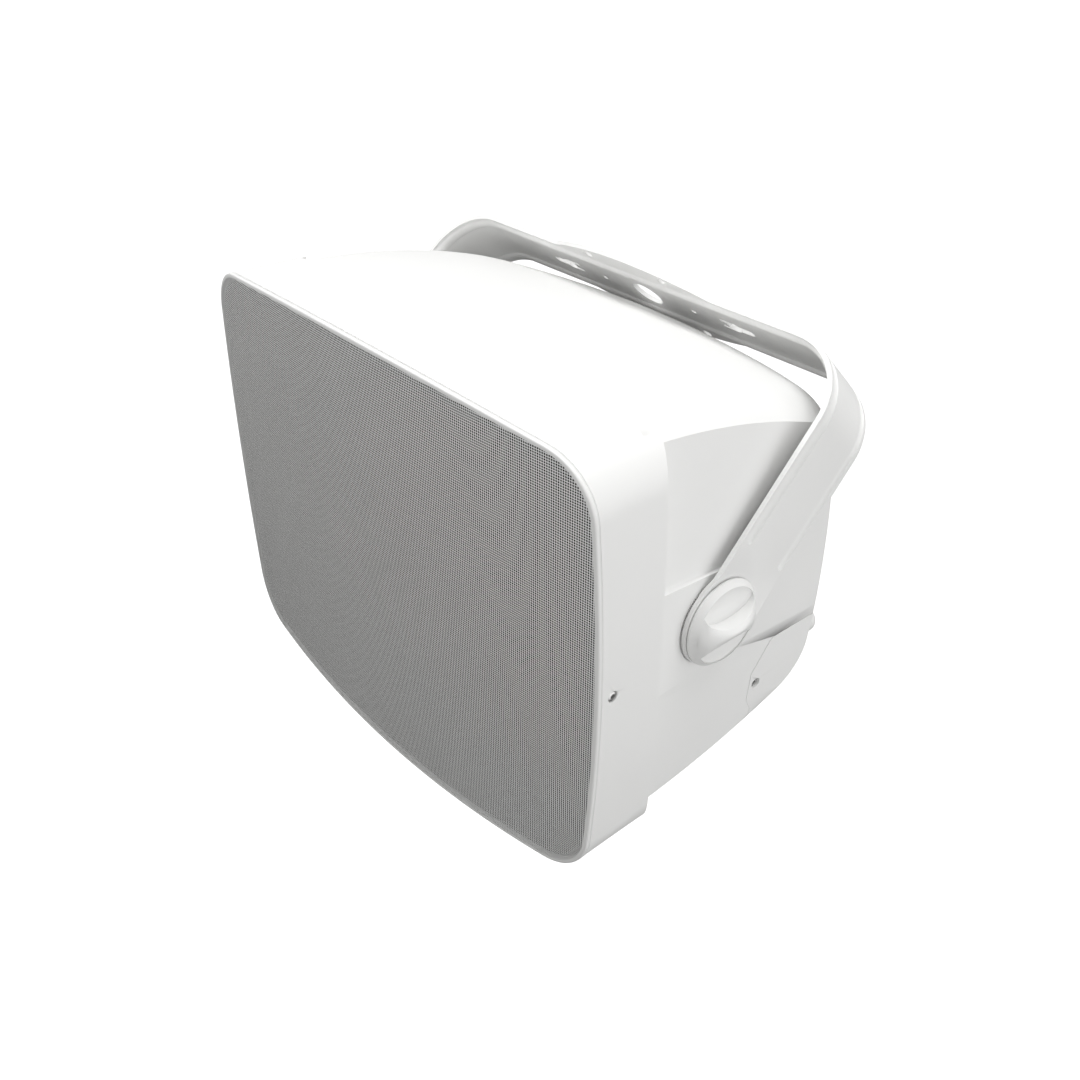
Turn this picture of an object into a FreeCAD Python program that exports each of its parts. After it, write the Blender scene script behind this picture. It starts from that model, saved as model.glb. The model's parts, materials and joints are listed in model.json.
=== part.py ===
"""Surface-mount loudspeaker that tilts in a U-shaped wall bracket.

Millimetres. X runs to the right seen from the front, Y runs from the grille to the
rear, Z is up. The sizes below are given from the middle of the grille's face; each
finished piece is moved so that the origin is the middle of the bracket's mounting face.
"""
import FreeCAD, Part
import math
import os

Vec = FreeCAD.Vector
ALONG_X = Vec(1, 0, 0)
ALONG_Y = Vec(0, 1, 0)
ALONG_Z = Vec(0, 0, 1)

# General clearances
SEAT_GAP = 0.3
SEAM_GAP = 0.35
RUN_GAP = 0.05
HOLE_GAP = 0.3
CUT_PAST = 5.0
PILOT_EXTRA = 1.0

# Front outline, shared by the grille and the bezel
GRILLE_WIDTH = 380.0
GRILLE_HEIGHT = 295.0
GRILLE_CORNER = 36.5
SIDE_BOW = 9.5
TOP_BOW = 13.0
FACE_CROWN = 14.5

# Grille, its foam and its side screws
GRILLE_SHEET = 0.9
HEM_DEPTH = 3.0
HEM_WIDTH = 3.2
SKIRT_INSET = 3.8
SKIRT_END = 31.0
FOAM_THICK = 5.0
FOAM_EDGE = 1.5
GRILLE_SCREW_Y = 25.5
GRILLE_SCREW_HEAD_R = 3.2
GRILLE_SCREW_HEAD = 1.6
GRILLE_SCREW_R = 1.5
GRILLE_SCREW_LENGTH = 8.0

# Front moulding: bezel and baffle plate
BEZEL_PROUD = 0.3
BEZEL_TAPER = 1.1
BEZEL_WALL = 3.5
BEZEL_REAR = 61.0
BEZEL_FLANGE = 4.0
BEZEL_BACK_ANGLE = 28.0
BAFFLE_FRONT = 32.0
BAFFLE_THICK = 6.5

# Rear enclosure
SHELL_WIDTH = 351.0
SHELL_BACK = 257.0
SHELL_WALL = 3.5
SHELL_EDGE = 50.0
SHELL_CUT = 8.5
SHELL_STATIONS = (0.33, 0.66, 1.0)
SHELL_EDGE_SHARES = (0.3, 0.55, 0.78, 1.0)
SHELL_SLOPE_R = 500.0
SHELL_SLOPE_START = 35.0
BACK_PLAN_R = 650.0
BACK_SIDE_R = 500.0
BACK_CORNER = 50.0
TONGUE_INSET = 2.6
TONGUE_WALL = 3.0
TONGUE_ROOT = 12.0
GASKET_THICK = 2.5

# Screws that close the cabinet, and their posts
POST_R = 5.0
POST_INSET = 8.0
POST_ROOT = 20.0
POST_SPOTS_TOP = (-122.0, 0.0, 122.0)
POST_SIDE_DROP = 74.4
CLOSE_SCREW_R = 2.0
CLOSE_SCREW_HEAD_R = 4.0
CLOSE_SCREW_HEAD = 2.5
CLOSE_SCREW_LENGTH = 24.0

# Tilt pivot
PIVOT_Y = 117.8
PAD_HALF = 32.6
PAD_SPREAD = 3.4
PAD_RISE = 1.6
PAD_SLOPE = 0.8
BOSS_R = 13.0
BOSS_DEPTH = 30.0
INSERT_R = 7.0
INSERT_LENGTH = 22.0
STUD_R = 4.0
STUD_HOLE_R = 4.6

# Bracket, in sheet steel
TILT_AT_REST = 45.0
SHEET = 3.0
ARM_WIDTH = 57.0
CROSSBAR_GAP = 6.1
BEND_R = 43.0
EYE_SINK = 2.0
EYE_SEAT_GAP = 1.4
EYE_RAMP = 4.0
WING_SPAN = 144.0
WING_RISE = 13.5
BEAD_R = 3.5
BEAD_LIFT = 1.7
BEAD_OFFSET = 22.0
BEAD_END = 47.0

# Holes in the bracket's crossbar
CENTRE_HOLE_R = 11.5
BOX_HOLE_PITCH = 83.3
BOX_HOLE_R = 2.2
WING_HOLE_PITCH = 68.0
WING_HOLE_R = 3.3
KEYHOLE_X = 77.0
KEYHOLE_R = 5.5
KEYHOLE_SLOT_R = 3.25
KEYHOLE_SLOT = 13.0
KEYHOLE_PRONG_R = 1.3
KEYHOLE_PRONG = 10.0
KEYHOLE_PRONG_APART = 7.6

# Toothed rings, let into the cabinet's pads
RING_THICK = 2.7
RING_POCKET = 2.0
RING_BORE_R = 12.0
TOOTH_COUNT = 60
TOOTH_DEPTH = 1.2
TOOTH_LENGTH = 6.0
TOOTH_FILL = 0.9

# Hand knobs
KNOB_R = 27.9
KNOB_RIM = 5.0
KNOB_RISE = 14.5
KNOB_EDGE = 4.0
KNOB_ROUND = 2.5
SCOOP_VALLEY = 15.0
SCOOP_LIP_Z = 10.3
SCOOP_LIP = 11.6
SCOOP_FLOOR = 3.0
SCOOP_SLOPE = 6.0
KNOB_STUD_GRIP = 9.0
STUD_LENGTH = 40.0

# Rear cover; heights are from the enclosure's lower edge, depths from the grille
COVER_HEIGHT = 100.9
COVER_SHOULDER = 178.0
COVER_NOSE = 163.0
COVER_FOOT = 169.0
COVER_SCREW_Y = 169.7
COVER_SCREW_HEIGHT = 67.9
COVER_LOBE = 11.0
COVER_SEAM_R = 6.0
COVER_WALL = 3.0
COVER_BOSS = 7.0
COVER_BOSS_DEPTH = 18.0
COVER_SCREW_R = 2.0
COVER_SCREW_HEAD_R = 3.3
COVER_SCREW_HEAD = 1.6
COVER_SCREW_LENGTH = 15.0
COVER_SCREW_WELL_R = 3.8

# Cable gland on the rear cover
GLAND_X = 150.0
GLAND_HEIGHT = 71.4
GLAND_R = 10.0
GLAND_REACH = 11.0
GLAND_TAIL = 12.0
GLAND_THREAD_R = 7.5
GLAND_BORE_R = 4.0
GLAND_ROUND = 4.0
GLAND_NUT = 4.0
GLAND_SEAT = 237.0

# Woofer
WOOFER_X = -62.0
WOOFER_FLANGE_R = 104.0
WOOFER_FLANGE = 3.5
WOOFER_CUTOUT_R = 94.5
WOOFER_LIP_R = 88.0
WOOFER_SEAT_R = 95.5
WOOFER_DEPTH = 63.0
BASKET_WALL = 2.5
BASKET_NECK_R = 47.0
BASKET_BASE_R = 56.0
BASKET_BASE = 4.0
BASKET_BORE_R = 30.0
BASKET_WINDOWS = 6
BASKET_WINDOW_R = 17.0
WOOFER_GASKET = 2.0
WOOFER_SCREWS = 8
WOOFER_SCREW_PCD_R = 99.5
WOOFER_SCREW_R = 2.0
WOOFER_SCREW_HEAD_R = 3.5
WOOFER_SCREW_HEAD = 2.2
WOOFER_SCREW_LENGTH = 12.0
CONE_EDGE_R = 74.0
CONE_THICK = 1.2
CONE_NECK_Y = 78.0
COIL_LEAD = 4.0
SURROUND_THICK = 1.2
CAP_R = 30.0
CAP_RISE = 11.0
COIL_R = 18.2
COIL_WALL = 0.4
COIL_WINDING = 0.9
COIL_WINDING_LENGTH = 14.0
COIL_LENGTH = 36.0
SPIDER_Y = 84.0
SPIDER_R = 44.0
SPIDER_THICK = 0.8
SPIDER_WAVE = 2.0
SPIDER_WAVES = 4
POLE_R = 17.5
POLE_VENT_R = 6.0
MAGNET_GAP_R = 20.2
TOP_PLATE_R = 52.0
TOP_PLATE = 7.0
MAGNET_R = 60.0
MAGNET_BORE_R = 27.0
MAGNET = 18.0
BACK_PLATE_R = 50.0
BACK_PLATE = 7.0

# High-frequency horn and its driver
HORN_X = 107.0
HORN_WIDTH = 110.0
HORN_PORT_GAP = 5.5
HORN_FLANGE = 3.5
HORN_CORNER = 14.0
HORN_RIM = 8.0
HORN_WALL = 3.0
HORN_DEPTH = 56.0
THROAT_R = 12.7
HORN_SCREW_INSET = 7.0
HORN_SCREW_R = 1.75
HORN_SCREW_HEAD_R = 3.3
HORN_SCREW_HEAD = 2.2
HORN_SCREW_LENGTH = 11.0
HORN_SECTIONS = 4
HORN_CURVE = 1.7
HORN_THROAT_ROUND = 0.98
DRIVER_FLANGE_R = 30.0
DRIVER_FLANGE = 6.0
DRIVER_R = 37.0
DRIVER_LENGTH = 24.0
DRIVER_CAP_R = 33.0
DRIVER_CAP = 16.0
DRIVER_CAP_ROUND = 5.0

# Ports
PORT_X = 112.0
PORT_DROP = 50.4
PORT_R = 21.0
PORT_WALL = 2.5
PORT_LENGTH = 110.0
PORT_FLARE = 5.0

# Crossover and connections
BOARD_X = 62.0
BOARD_Y = 205.0
BOARD_WIDTH = 150.0
BOARD_DEPTH = 40.0
BOARD_THICK = 1.6
BOARD_STAND = 7.0
BOARD_POST_R = 4.0
BOARD_INSET = 6.0
BOARD_SCREW_R = 1.5
BOARD_SCREW_HEAD_R = 3.0
BOARD_SCREW_HEAD = 2.0
BOARD_SCREW_LENGTH = 7.0
BOARD_PART_GAP = 3.5
COIL_FORM_R = 15.0
COIL_FORM_BORE_R = 6.0
COIL_FORM_HEIGHT = 20.0
CAPACITOR_R = 7.5
CAPACITOR_LENGTH = 32.0
RESISTOR_SIZE = 9.0
RESISTOR_LENGTH = 26.0
TERMINAL_COUNT = 4
TERMINAL_PITCH = 14.0
TERMINAL_DEPTH = 16.0
TERMINAL_HEIGHT = 18.0
TERMINAL_Y = 202.0
TERMINAL_SCREW_R = 3.5
TERMINAL_SCREW_LENGTH = 10.0
TERMINAL_SCREW_SINK = 1.0
TERMINAL_WIRE_R = 2.6

# Sizes worked out from the ones above
TOP_R = ((GRILLE_WIDTH / 2) ** 2 + TOP_BOW ** 2) / (2 * TOP_BOW)
SIDE_R = ((GRILLE_HEIGHT / 2) ** 2 + SIDE_BOW ** 2) / (2 * SIDE_BOW)
FACE_R = ((GRILLE_WIDTH / 2) ** 2 + FACE_CROWN ** 2) / (2 * FACE_CROWN)
SHELL_SIDE = SHELL_WIDTH / 2
PANEL_R = SIDE_R - (GRILLE_WIDTH / 2 - SHELL_SIDE)
SHELL_HALF_H = GRILLE_HEIGHT / 2 - BEZEL_TAPER
SHELL_FRONT = BEZEL_REAR + SEAM_GAP
BAFFLE_REAR = BAFFLE_FRONT + BAFFLE_THICK
COVER_TOP = COVER_HEIGHT - SHELL_HALF_H
COVER_SCREW_Z = COVER_SCREW_HEIGHT - SHELL_HALF_H
GLAND_Z = GLAND_HEIGHT - SHELL_HALF_H
PORT_Z = SHELL_HALF_H - PORT_DROP
HORN_HEIGHT = 2 * (PORT_Z - PORT_R - PORT_WALL - PORT_FLARE - HORN_PORT_GAP)
POST_SIDE_Z = SHELL_HALF_H - POST_SIDE_DROP
TONGUE_FRONT = BAFFLE_REAR + GASKET_THICK
PAD_FACE = SHELL_SIDE + PAD_RISE
RING_BACK = PAD_FACE - RING_POCKET
RING_FACE = RING_BACK + RING_THICK
EYE_INNER = RING_FACE + SEAT_GAP
EYE_OUTER = EYE_INNER + SHEET
ARM_OUTER = EYE_OUTER + EYE_SINK
EYE_R = ARM_WIDTH / 2
KNOB_SEAT = EYE_OUTER + SEAT_GAP
WOOFER_SEAT = BAFFLE_FRONT - WOOFER_FLANGE
TOP_PLATE_Y = WOOFER_SEAT + WOOFER_DEPTH + BASKET_BASE
MAGNET_Y = TOP_PLATE_Y + TOP_PLATE
BACK_PLATE_Y = MAGNET_Y + MAGNET
HORN_SEAT = BAFFLE_FRONT - HORN_FLANGE
CONE_NECK_R = COIL_R + COIL_WALL + RUN_GAP
CONE_EDGE_Y = WOOFER_SEAT + RUN_GAP
HORN_END = HORN_SEAT + HORN_DEPTH
BOARD_FLOOR = COVER_TOP + SHELL_WALL
BOARD_Z = BOARD_FLOOR + BOARD_STAND
RESISTOR_X = BOARD_X - BOARD_WIDTH / 2 + BOARD_INSET + BOARD_SCREW_HEAD_R + BOARD_PART_GAP
FIRST_COIL_X = RESISTOR_X + RESISTOR_SIZE + BOARD_PART_GAP + COIL_FORM_R
SECOND_COIL_X = FIRST_COIL_X + 2 * COIL_FORM_R + BOARD_PART_GAP
FIRST_CAPACITOR_X = SECOND_COIL_X + COIL_FORM_R + BOARD_PART_GAP + CAPACITOR_R
SECOND_CAPACITOR_X = FIRST_CAPACITOR_X + 2 * CAPACITOR_R + BOARD_PART_GAP


# Plane geometry

def circle_meet(first, first_r, second, second_r):
    """Where two circles in a plane cross, taking the crossing with the larger coordinates."""
    du = second[0] - first[0]
    dv = second[1] - first[1]
    span = math.hypot(du, dv)
    along = (first_r ** 2 - second_r ** 2 + span ** 2) / (2 * span)
    aside = math.sqrt(first_r ** 2 - along ** 2)
    foot = (first[0] + along * du / span, first[1] + along * dv / span)
    ends = [(foot[0] - side * aside * dv / span, foot[1] + side * aside * du / span) for side in (1, -1)]
    return max(ends, key=sum)


def toward(start, end, distance):
    """The point at a distance from start, on the line through end."""
    span = math.hypot(end[0] - start[0], end[1] - start[1])
    share = distance / span
    return (start[0] + (end[0] - start[0]) * share, start[1] + (end[1] - start[1]) * share)


def between(centre, first, second):
    """The point on a circle half-way round from the first of its points to the second."""
    radius = math.hypot(first[0] - centre[0], first[1] - centre[1])
    middle = ((first[0] + second[0]) / 2, (first[1] + second[1]) / 2)
    return toward(centre, middle, radius)


def arc(start, through, end):
    return Part.Arc(start, through, end).toShape()


def line(start, end):
    return Part.LineSegment(start, end).toShape()


def rounded_face(corners, place):
    """A flat face with each corner (u, v, radius) rounded; place turns (u, v) into a point in space."""
    edges = []
    first = None
    last = None
    for index, (u, v, radius) in enumerate(corners):
        before = corners[index - 1]
        after = corners[(index + 1) % len(corners)]
        span_in = math.hypot(before[0] - u, before[1] - v)
        span_out = math.hypot(after[0] - u, after[1] - v)
        dot = ((before[0] - u) * (after[0] - u) + (before[1] - v) * (after[1] - v)) / (span_in * span_out)
        half_turn = math.acos(max(-1.0, min(1.0, dot))) / 2
        cut = radius / math.tan(half_turn)
        start = toward((u, v), before, cut)
        end = toward((u, v), after, cut)
        if last is not None:
            edges.append(line(place(*last), place(*start)))
        if radius > 0:
            crown = toward((u, v), ((start[0] + end[0]) / 2, (start[1] + end[1]) / 2),
                           radius / math.sin(half_turn) - radius)
            edges.append(arc(place(*start), place(*crown), place(*end)))
        if first is None:
            first = start
        last = end
    edges.append(line(place(*last), place(*first)))
    return Part.Face(Part.Wire(edges))


def crowned_wire(half_w, half_h, top_r, side_r, corner, y):
    """A rectangle with bowed top and bottom and rounded corners; side_r is None for straight sides."""
    top_centre = (0.0, half_h - top_r)
    if side_r is None:
        cx = half_w - corner
        cz = top_centre[1] + math.sqrt((top_r - corner) ** 2 - cx ** 2)
        side = (half_w, cz)
    else:
        side_centre = (half_w - side_r, 0.0)
        cx, cz = circle_meet(top_centre, top_r - corner, side_centre, side_r - corner)
        side = toward(side_centre, (cx, cz), side_r)
    top = toward(top_centre, (cx, cz), top_r)
    bend = between((cx, cz), top, side)

    def at(point, sx, sz):
        return Vec(sx * point[0], y, sz * point[1])

    edges = []
    for turn in (1, -1):
        edges.append(arc(at(top, -turn, turn), Vec(0, y, turn * half_h), at(top, turn, turn)))
        edges.append(arc(at(top, turn, turn), at(bend, turn, turn), at(side, turn, turn)))
        if side_r is None:
            edges.append(line(at(side, turn, turn), at(side, turn, -turn)))
        else:
            edges.append(arc(at(side, turn, turn), Vec(turn * half_w, y, 0), at(side, turn, -turn)))
        edges.append(arc(at(side, turn, -turn), at(bend, turn, -turn), at(top, turn, -turn)))
    return Part.Wire(edges)


def front_wire(offset, y):
    """The grille's outline, grown by an offset."""
    return crowned_wire(GRILLE_WIDTH / 2 + offset, GRILLE_HEIGHT / 2 + offset, TOP_R + offset,
                        SIDE_R + offset, GRILLE_CORNER + offset, y)


def front_prism(offset, y_from, y_to):
    return Part.Face(front_wire(offset, y_from)).extrude(Vec(0, y_to - y_from, 0))


def shell_prism(inset, y_from, y_to):
    """The rear enclosure's section where it meets the front, shrunk by an inset."""
    wire = crowned_wire(SHELL_SIDE + SHELL_CUT - inset, SHELL_HALF_H - inset, TOP_R - BEZEL_TAPER - inset,
                        None, SHELL_EDGE - inset, y_from)
    return Part.Face(wire).extrude(Vec(0, y_to - y_from, 0)).common(between_panels(inset))


def panel_x(z, inset=0.0):
    """How far out the bowed side panel lies at a height."""
    return SHELL_SIDE - PANEL_R + math.sqrt((PANEL_R - inset) ** 2 - z ** 2)


def between_panels(inset):
    """All that lies between the two side panels, moved in by an inset."""
    high = GRILLE_HEIGHT
    edge = panel_x(high, inset)
    middle = panel_x(0, inset)
    face = Part.Face(Part.Wire([
        arc(Vec(edge, -CUT_PAST, -high), Vec(middle, -CUT_PAST, 0), Vec(edge, -CUT_PAST, high)),
        line(Vec(edge, -CUT_PAST, high), Vec(-edge, -CUT_PAST, high)),
        arc(Vec(-edge, -CUT_PAST, high), Vec(-middle, -CUT_PAST, 0), Vec(-edge, -CUT_PAST, -high)),
        line(Vec(-edge, -CUT_PAST, -high), Vec(edge, -CUT_PAST, -high)),
    ]))
    return face.extrude(Vec(0, SHELL_BACK + 2 * CUT_PAST, 0))


def behind_face(depth):
    """All that lies more than a depth behind the grille's domed face."""
    height = 2 * GRILLE_HEIGHT
    return Part.makeCylinder(FACE_R - depth, height, Vec(0, FACE_R, -height / 2), ALONG_Z)


# Simple solids

def rod(start, axis, length, radius):
    return Part.makeCylinder(radius, length, start, axis)


def tube(start, axis, length, radius, bore):
    return rod(start, axis, length, radius).cut(rod(start, axis, length, bore))


def drilled(body, spots, y_from, y_to, radius):
    """A body with a hole right through it along Y at each (x, z) spot."""
    length = y_to - y_from + 2 * CUT_PAST
    return body.cut([rod(Vec(x, y_from - CUT_PAST, z), ALONG_Y, length, radius) for x, z in spots])


def box(x, y, z):
    """A block between two x, two y and two z values."""
    return Part.makeBox(x[1] - x[0], y[1] - y[0], z[1] - z[0], Vec(x[0], y[0], z[0]))


def turned(points, x, z):
    """A ring turned about the line through (x, z) along Y, from (radius, y) points or 3-point arcs."""
    edges = []
    spot = None
    for item in points + [points[0]]:
        if len(item) == 2:
            end = Vec(x + item[0], item[1], z)
            if spot is not None:
                edges.append(line(spot, end))
        else:
            end = Vec(x + item[2], item[3], z)
            edges.append(arc(spot, Vec(x + item[0], item[1], z), end))
        spot = end
    face = Part.Face(Part.Wire(edges))
    return face.revolve(Vec(x, 0, z), ALONG_Y, 360)


def screw(head_seat, axis, head_r, head, shank_r, length):
    """A plain-headed screw; axis points from the head's seat to the tip."""
    out = Vec(axis).multiply(-1)
    return rod(head_seat, out, head, head_r).fuse(rod(head_seat, axis, length, shank_r)).removeSplitter()


def mirrored(shape):
    return shape.mirror(Vec(0, 0, 0), ALONG_X)


def both_sides(shape):
    return [shape, mirrored(shape)]


def joined(shapes):
    """One solid from several that overlap."""
    return shapes[0].multiFuse(shapes[1:]).removeSplitter()


def group(shapes):
    return Part.makeCompound(shapes)


# Grille

def grille():
    block = front_prism(0, -CUT_PAST, BAFFLE_FRONT)
    sheet = block.common(behind_face(0)).cut(behind_face(GRILLE_SHEET))
    hem = block.cut(front_prism(-HEM_WIDTH, -CUT_PAST, BAFFLE_FRONT))
    hem = hem.common(behind_face(0)).cut(behind_face(HEM_DEPTH))
    skirt = front_prism(-SKIRT_INSET, -CUT_PAST, SKIRT_END)
    skirt = skirt.cut(front_prism(-SKIRT_INSET - GRILLE_SHEET, -CUT_PAST, SKIRT_END)).common(behind_face(0))
    bridge = front_prism(-HEM_WIDTH, -CUT_PAST, BAFFLE_FRONT)
    bridge = bridge.cut(front_prism(-SKIRT_INSET - GRILLE_SHEET, -CUT_PAST, BAFFLE_FRONT))
    bridge = bridge.common(behind_face(0)).cut(behind_face(HEM_DEPTH))
    body = joined([sheet, hem, bridge, skirt])
    for hole in both_sides(rod(Vec(0, GRILLE_SCREW_Y, 0), ALONG_X, GRILLE_WIDTH, GRILLE_SCREW_R + HOLE_GAP)):
        body = body.cut(hole)
    return body


def grille_foam():
    edge = -SKIRT_INSET - GRILLE_SHEET - FOAM_EDGE
    foam = front_prism(edge, -CUT_PAST, BAFFLE_FRONT)
    return foam.common(behind_face(GRILLE_SHEET)).cut(behind_face(GRILLE_SHEET + FOAM_THICK))


def bezel_half_width(y):
    """The bezel's half-width at its middle height, a distance behind the grille."""
    share = (y + CUT_PAST) / (BEZEL_REAR + CUT_PAST)
    return GRILLE_WIDTH / 2 + BEZEL_PROUD - share * (BEZEL_PROUD + BEZEL_TAPER)


def grille_screw_seat():
    return Vec(bezel_half_width(GRILLE_SCREW_Y) - GRILLE_SCREW_HEAD, GRILLE_SCREW_Y, 0)


def grille_screws():
    one = screw(grille_screw_seat(), Vec(-1, 0, 0), GRILLE_SCREW_HEAD_R, GRILLE_SCREW_HEAD,
                GRILLE_SCREW_R, GRILLE_SCREW_LENGTH)
    return group(both_sides(one))


# Front moulding

def post_spots():
    """Where the screws that close the cabinet stand, as (x, z)."""
    centre_z = SHELL_HALF_H - (TOP_R - BEZEL_TAPER)
    radius = TOP_R - BEZEL_TAPER - POST_INSET
    spots = []
    for x in POST_SPOTS_TOP:
        z = centre_z + math.sqrt(radius ** 2 - x ** 2)
        spots += [(x, z), (x, -z)]
    for z in (-POST_SIDE_Z, POST_SIDE_Z):
        spots += [(panel_x(z) - POST_INSET, z), (POST_INSET - panel_x(z), z)]
    return spots


def ring_spots(x, z, radius, count):
    """Evenly spaced (x, z) places on a circle."""
    turn = 2 * math.pi / count
    angles = [(k + 0.5) * turn for k in range(count)]
    return [(x + radius * math.cos(angle), z + radius * math.sin(angle)) for angle in angles]


def horn_spots():
    dx = HORN_WIDTH / 2 - HORN_SCREW_INSET
    dz = HORN_HEIGHT / 2 - HORN_SCREW_INSET
    return [(HORN_X + sx * dx, sz * dz) for sx in (-1, 1) for sz in (-1, 1)]


def plate_holes():
    """Screw holes through the baffle plate, as (x, z, radius)."""
    holes = [(x, z, CLOSE_SCREW_R + HOLE_GAP) for x, z in post_spots()]
    holes += [(x, z, WOOFER_SCREW_R + RUN_GAP) for x, z in woofer_spots()]
    holes += [(x, z, HORN_SCREW_R + RUN_GAP) for x, z in horn_spots()]
    return holes


def front_baffle():
    """Bezel and baffle plate in one moulding, hollow in front for the grille and behind for the enclosure."""
    ends = [front_wire(BEZEL_PROUD, -CUT_PAST), front_wire(-BEZEL_TAPER, BEZEL_REAR)]
    body = Part.makeLoft(ends, True, True)
    body = body.common(behind_face(HEM_DEPTH + SEAT_GAP))
    body = body.cut(front_prism(SEAT_GAP - SKIRT_INSET, -CUT_PAST, BAFFLE_FRONT))
    body = body.cut(front_prism(-BEZEL_TAPER - BEZEL_WALL, BAFFLE_REAR, BEZEL_REAR - BEZEL_FLANGE))
    body = body.cut(shell_prism(TONGUE_INSET - SEAT_GAP, BAFFLE_REAR, BEZEL_REAR + CUT_PAST))
    body = joined([body] + both_sides(bezel_shoulder()))
    start = BAFFLE_FRONT - CUT_PAST
    through = BAFFLE_THICK + 2 * CUT_PAST
    body = body.cut(rod(Vec(WOOFER_X, start, 0), ALONG_Y, through, WOOFER_CUTOUT_R))
    body = body.cut(horn_block(HORN_WALL + HOLE_GAP, start, start + through))
    for z in (PORT_Z, -PORT_Z):
        body = body.cut(rod(Vec(PORT_X, start, z), ALONG_Y, through, PORT_R + PORT_WALL + HOLE_GAP))
    for x, z, radius in plate_holes():
        body = body.cut(rod(Vec(x, start, z), ALONG_Y, through, radius))
    seat = grille_screw_seat()
    well = rod(seat, ALONG_X, CUT_PAST, GRILLE_SCREW_HEAD_R + HOLE_GAP)
    shank = rod(seat, Vec(-1, 0, 0), GRILLE_SCREW_LENGTH, GRILLE_SCREW_R + HOLE_GAP)
    for hole in both_sides(well) + both_sides(shank):
        body = body.cut(hole)
    return body


def bezel_back(gap):
    """The space in front of the bezel's sloped back walls, moved to the rear by a gap."""
    outer = GRILLE_WIDTH / 2
    inner = SHELL_SIDE + SHELL_CUT - SHELL_EDGE
    front = BEZEL_REAR - SEAM_GAP
    deep = BEZEL_REAR + gap + (outer - inner) * math.tan(math.radians(BEZEL_BACK_ANGLE))
    plan = Part.makePolygon([Vec(x, y, -GRILLE_HEIGHT) for x, y in (
        (inner, front), (outer, front), (outer, BEZEL_REAR + gap), (inner, deep), (inner, front))])
    return Part.Face(plan).extrude(Vec(0, 0, 2 * GRILLE_HEIGHT))


def bezel_shoulder():
    """The part of the bezel behind its rear edge: inside its outline, outside the side panels."""
    whole = front_prism(-BEZEL_TAPER, BEZEL_REAR - SEAM_GAP, SHELL_BACK).common(bezel_back(0))
    return whole.cut(between_panels(-SEAM_GAP))


def baffle_gasket():
    outer = shell_prism(TONGUE_INSET, BAFFLE_REAR, TONGUE_FRONT)
    return outer.cut(shell_prism(TONGUE_INSET + TONGUE_WALL, BAFFLE_REAR, TONGUE_FRONT))


def baffle_screws():
    return group([screw(Vec(x, BAFFLE_FRONT, z), ALONG_Y, CLOSE_SCREW_HEAD_R, CLOSE_SCREW_HEAD,
                        CLOSE_SCREW_R, CLOSE_SCREW_LENGTH) for x, z in post_spots()])


# Rear enclosure

def crown(x, half_w, height, crown_r, edge):
    """Height at x of an arc whose shoulders round down to upright sides, and what the rounding takes off."""
    base = height - crown_r
    plain = base + math.sqrt(crown_r ** 2 - x ** 2)
    edge_x = half_w - edge
    edge_z = base + math.sqrt((crown_r - edge) ** 2 - edge_x ** 2)
    past = abs(x) - edge_x
    if past <= edge_x * edge / (crown_r - edge):
        return plain, 0.0
    rounded = edge_z + math.sqrt(max(0.0, edge ** 2 - past ** 2))
    return rounded, plain - rounded


def slope_drop(y):
    """How far the top has fallen, a distance behind the grille."""
    return SHELL_SLOPE_R - math.sqrt(SHELL_SLOPE_R ** 2 - (y - SHELL_SLOPE_START) ** 2)


def shell_circles(x, inset):
    """The enclosure's side view at x as circles (centre, radius): top slope, back, and the corner between."""
    side = SHELL_SIDE + SHELL_CUT - inset
    edge = SHELL_EDGE - inset
    height = SHELL_HALF_H + slope_drop(BEZEL_REAR) - inset
    top, loss = crown(x, side, height, TOP_R - BEZEL_TAPER - inset, edge)
    back, _ = crown(x, side, SHELL_BACK - inset, BACK_PLAN_R - inset, edge)
    slope_r = SHELL_SLOPE_R - inset
    back_r = BACK_SIDE_R - inset
    corner = BACK_CORNER - inset - loss
    slope_centre = (SHELL_SLOPE_START, top - slope_r)
    back_centre = (back - back_r, 0.0)
    bend = circle_meet(slope_centre, slope_r - corner, back_centre, back_r - corner)
    return (slope_centre, slope_r), (back_centre, back_r), (bend, corner)


def shell_profile(x, inset, y_front):
    """The enclosure's outline at x: top, rear corner, back, and the same below."""
    (slope_centre, slope_r), (back_centre, back_r), (bend, corner) = shell_circles(x, inset)
    above = toward(slope_centre, bend, slope_r)
    behind = toward(back_centre, bend, back_r)
    start = (y_front, slope_centre[1] + math.sqrt(slope_r ** 2 - (y_front - SHELL_SLOPE_START) ** 2))
    slope = between(slope_centre, start, above)
    turn = between(bend, above, behind)
    back = (back_centre[0] + back_r, 0.0)

    def at(point, sz):
        return Vec(x, point[0], sz * point[1])

    return Part.Wire([
        arc(at(start, 1), at(slope, 1), at(above, 1)),
        arc(at(above, 1), at(turn, 1), at(behind, 1)),
        arc(at(behind, 1), at(back, 1), at(behind, -1)),
        arc(at(behind, -1), at(turn, -1), at(above, -1)),
        arc(at(above, -1), at(slope, -1), at(start, -1)),
        line(at(start, -1), at(start, 1)),
    ])


def shell_solid(inset, y_front):
    """The enclosure's outer form, shrunk by an inset: lofted from side to side, cut by the side panels."""
    side = SHELL_SIDE - inset
    edge = SHELL_EDGE - inset
    inner = side + SHELL_CUT - edge
    turn = math.asin((side - inner) / edge)
    half = [inner * share for share in SHELL_STATIONS]
    half += [inner + edge * math.sin(turn * share) for share in SHELL_EDGE_SHARES]
    stations = [-x for x in reversed(half)] + [0.0] + half
    form = Part.makeLoft([shell_profile(x, inset, y_front) for x in stations], True, False)
    return form.common(between_panels(inset))


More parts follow.
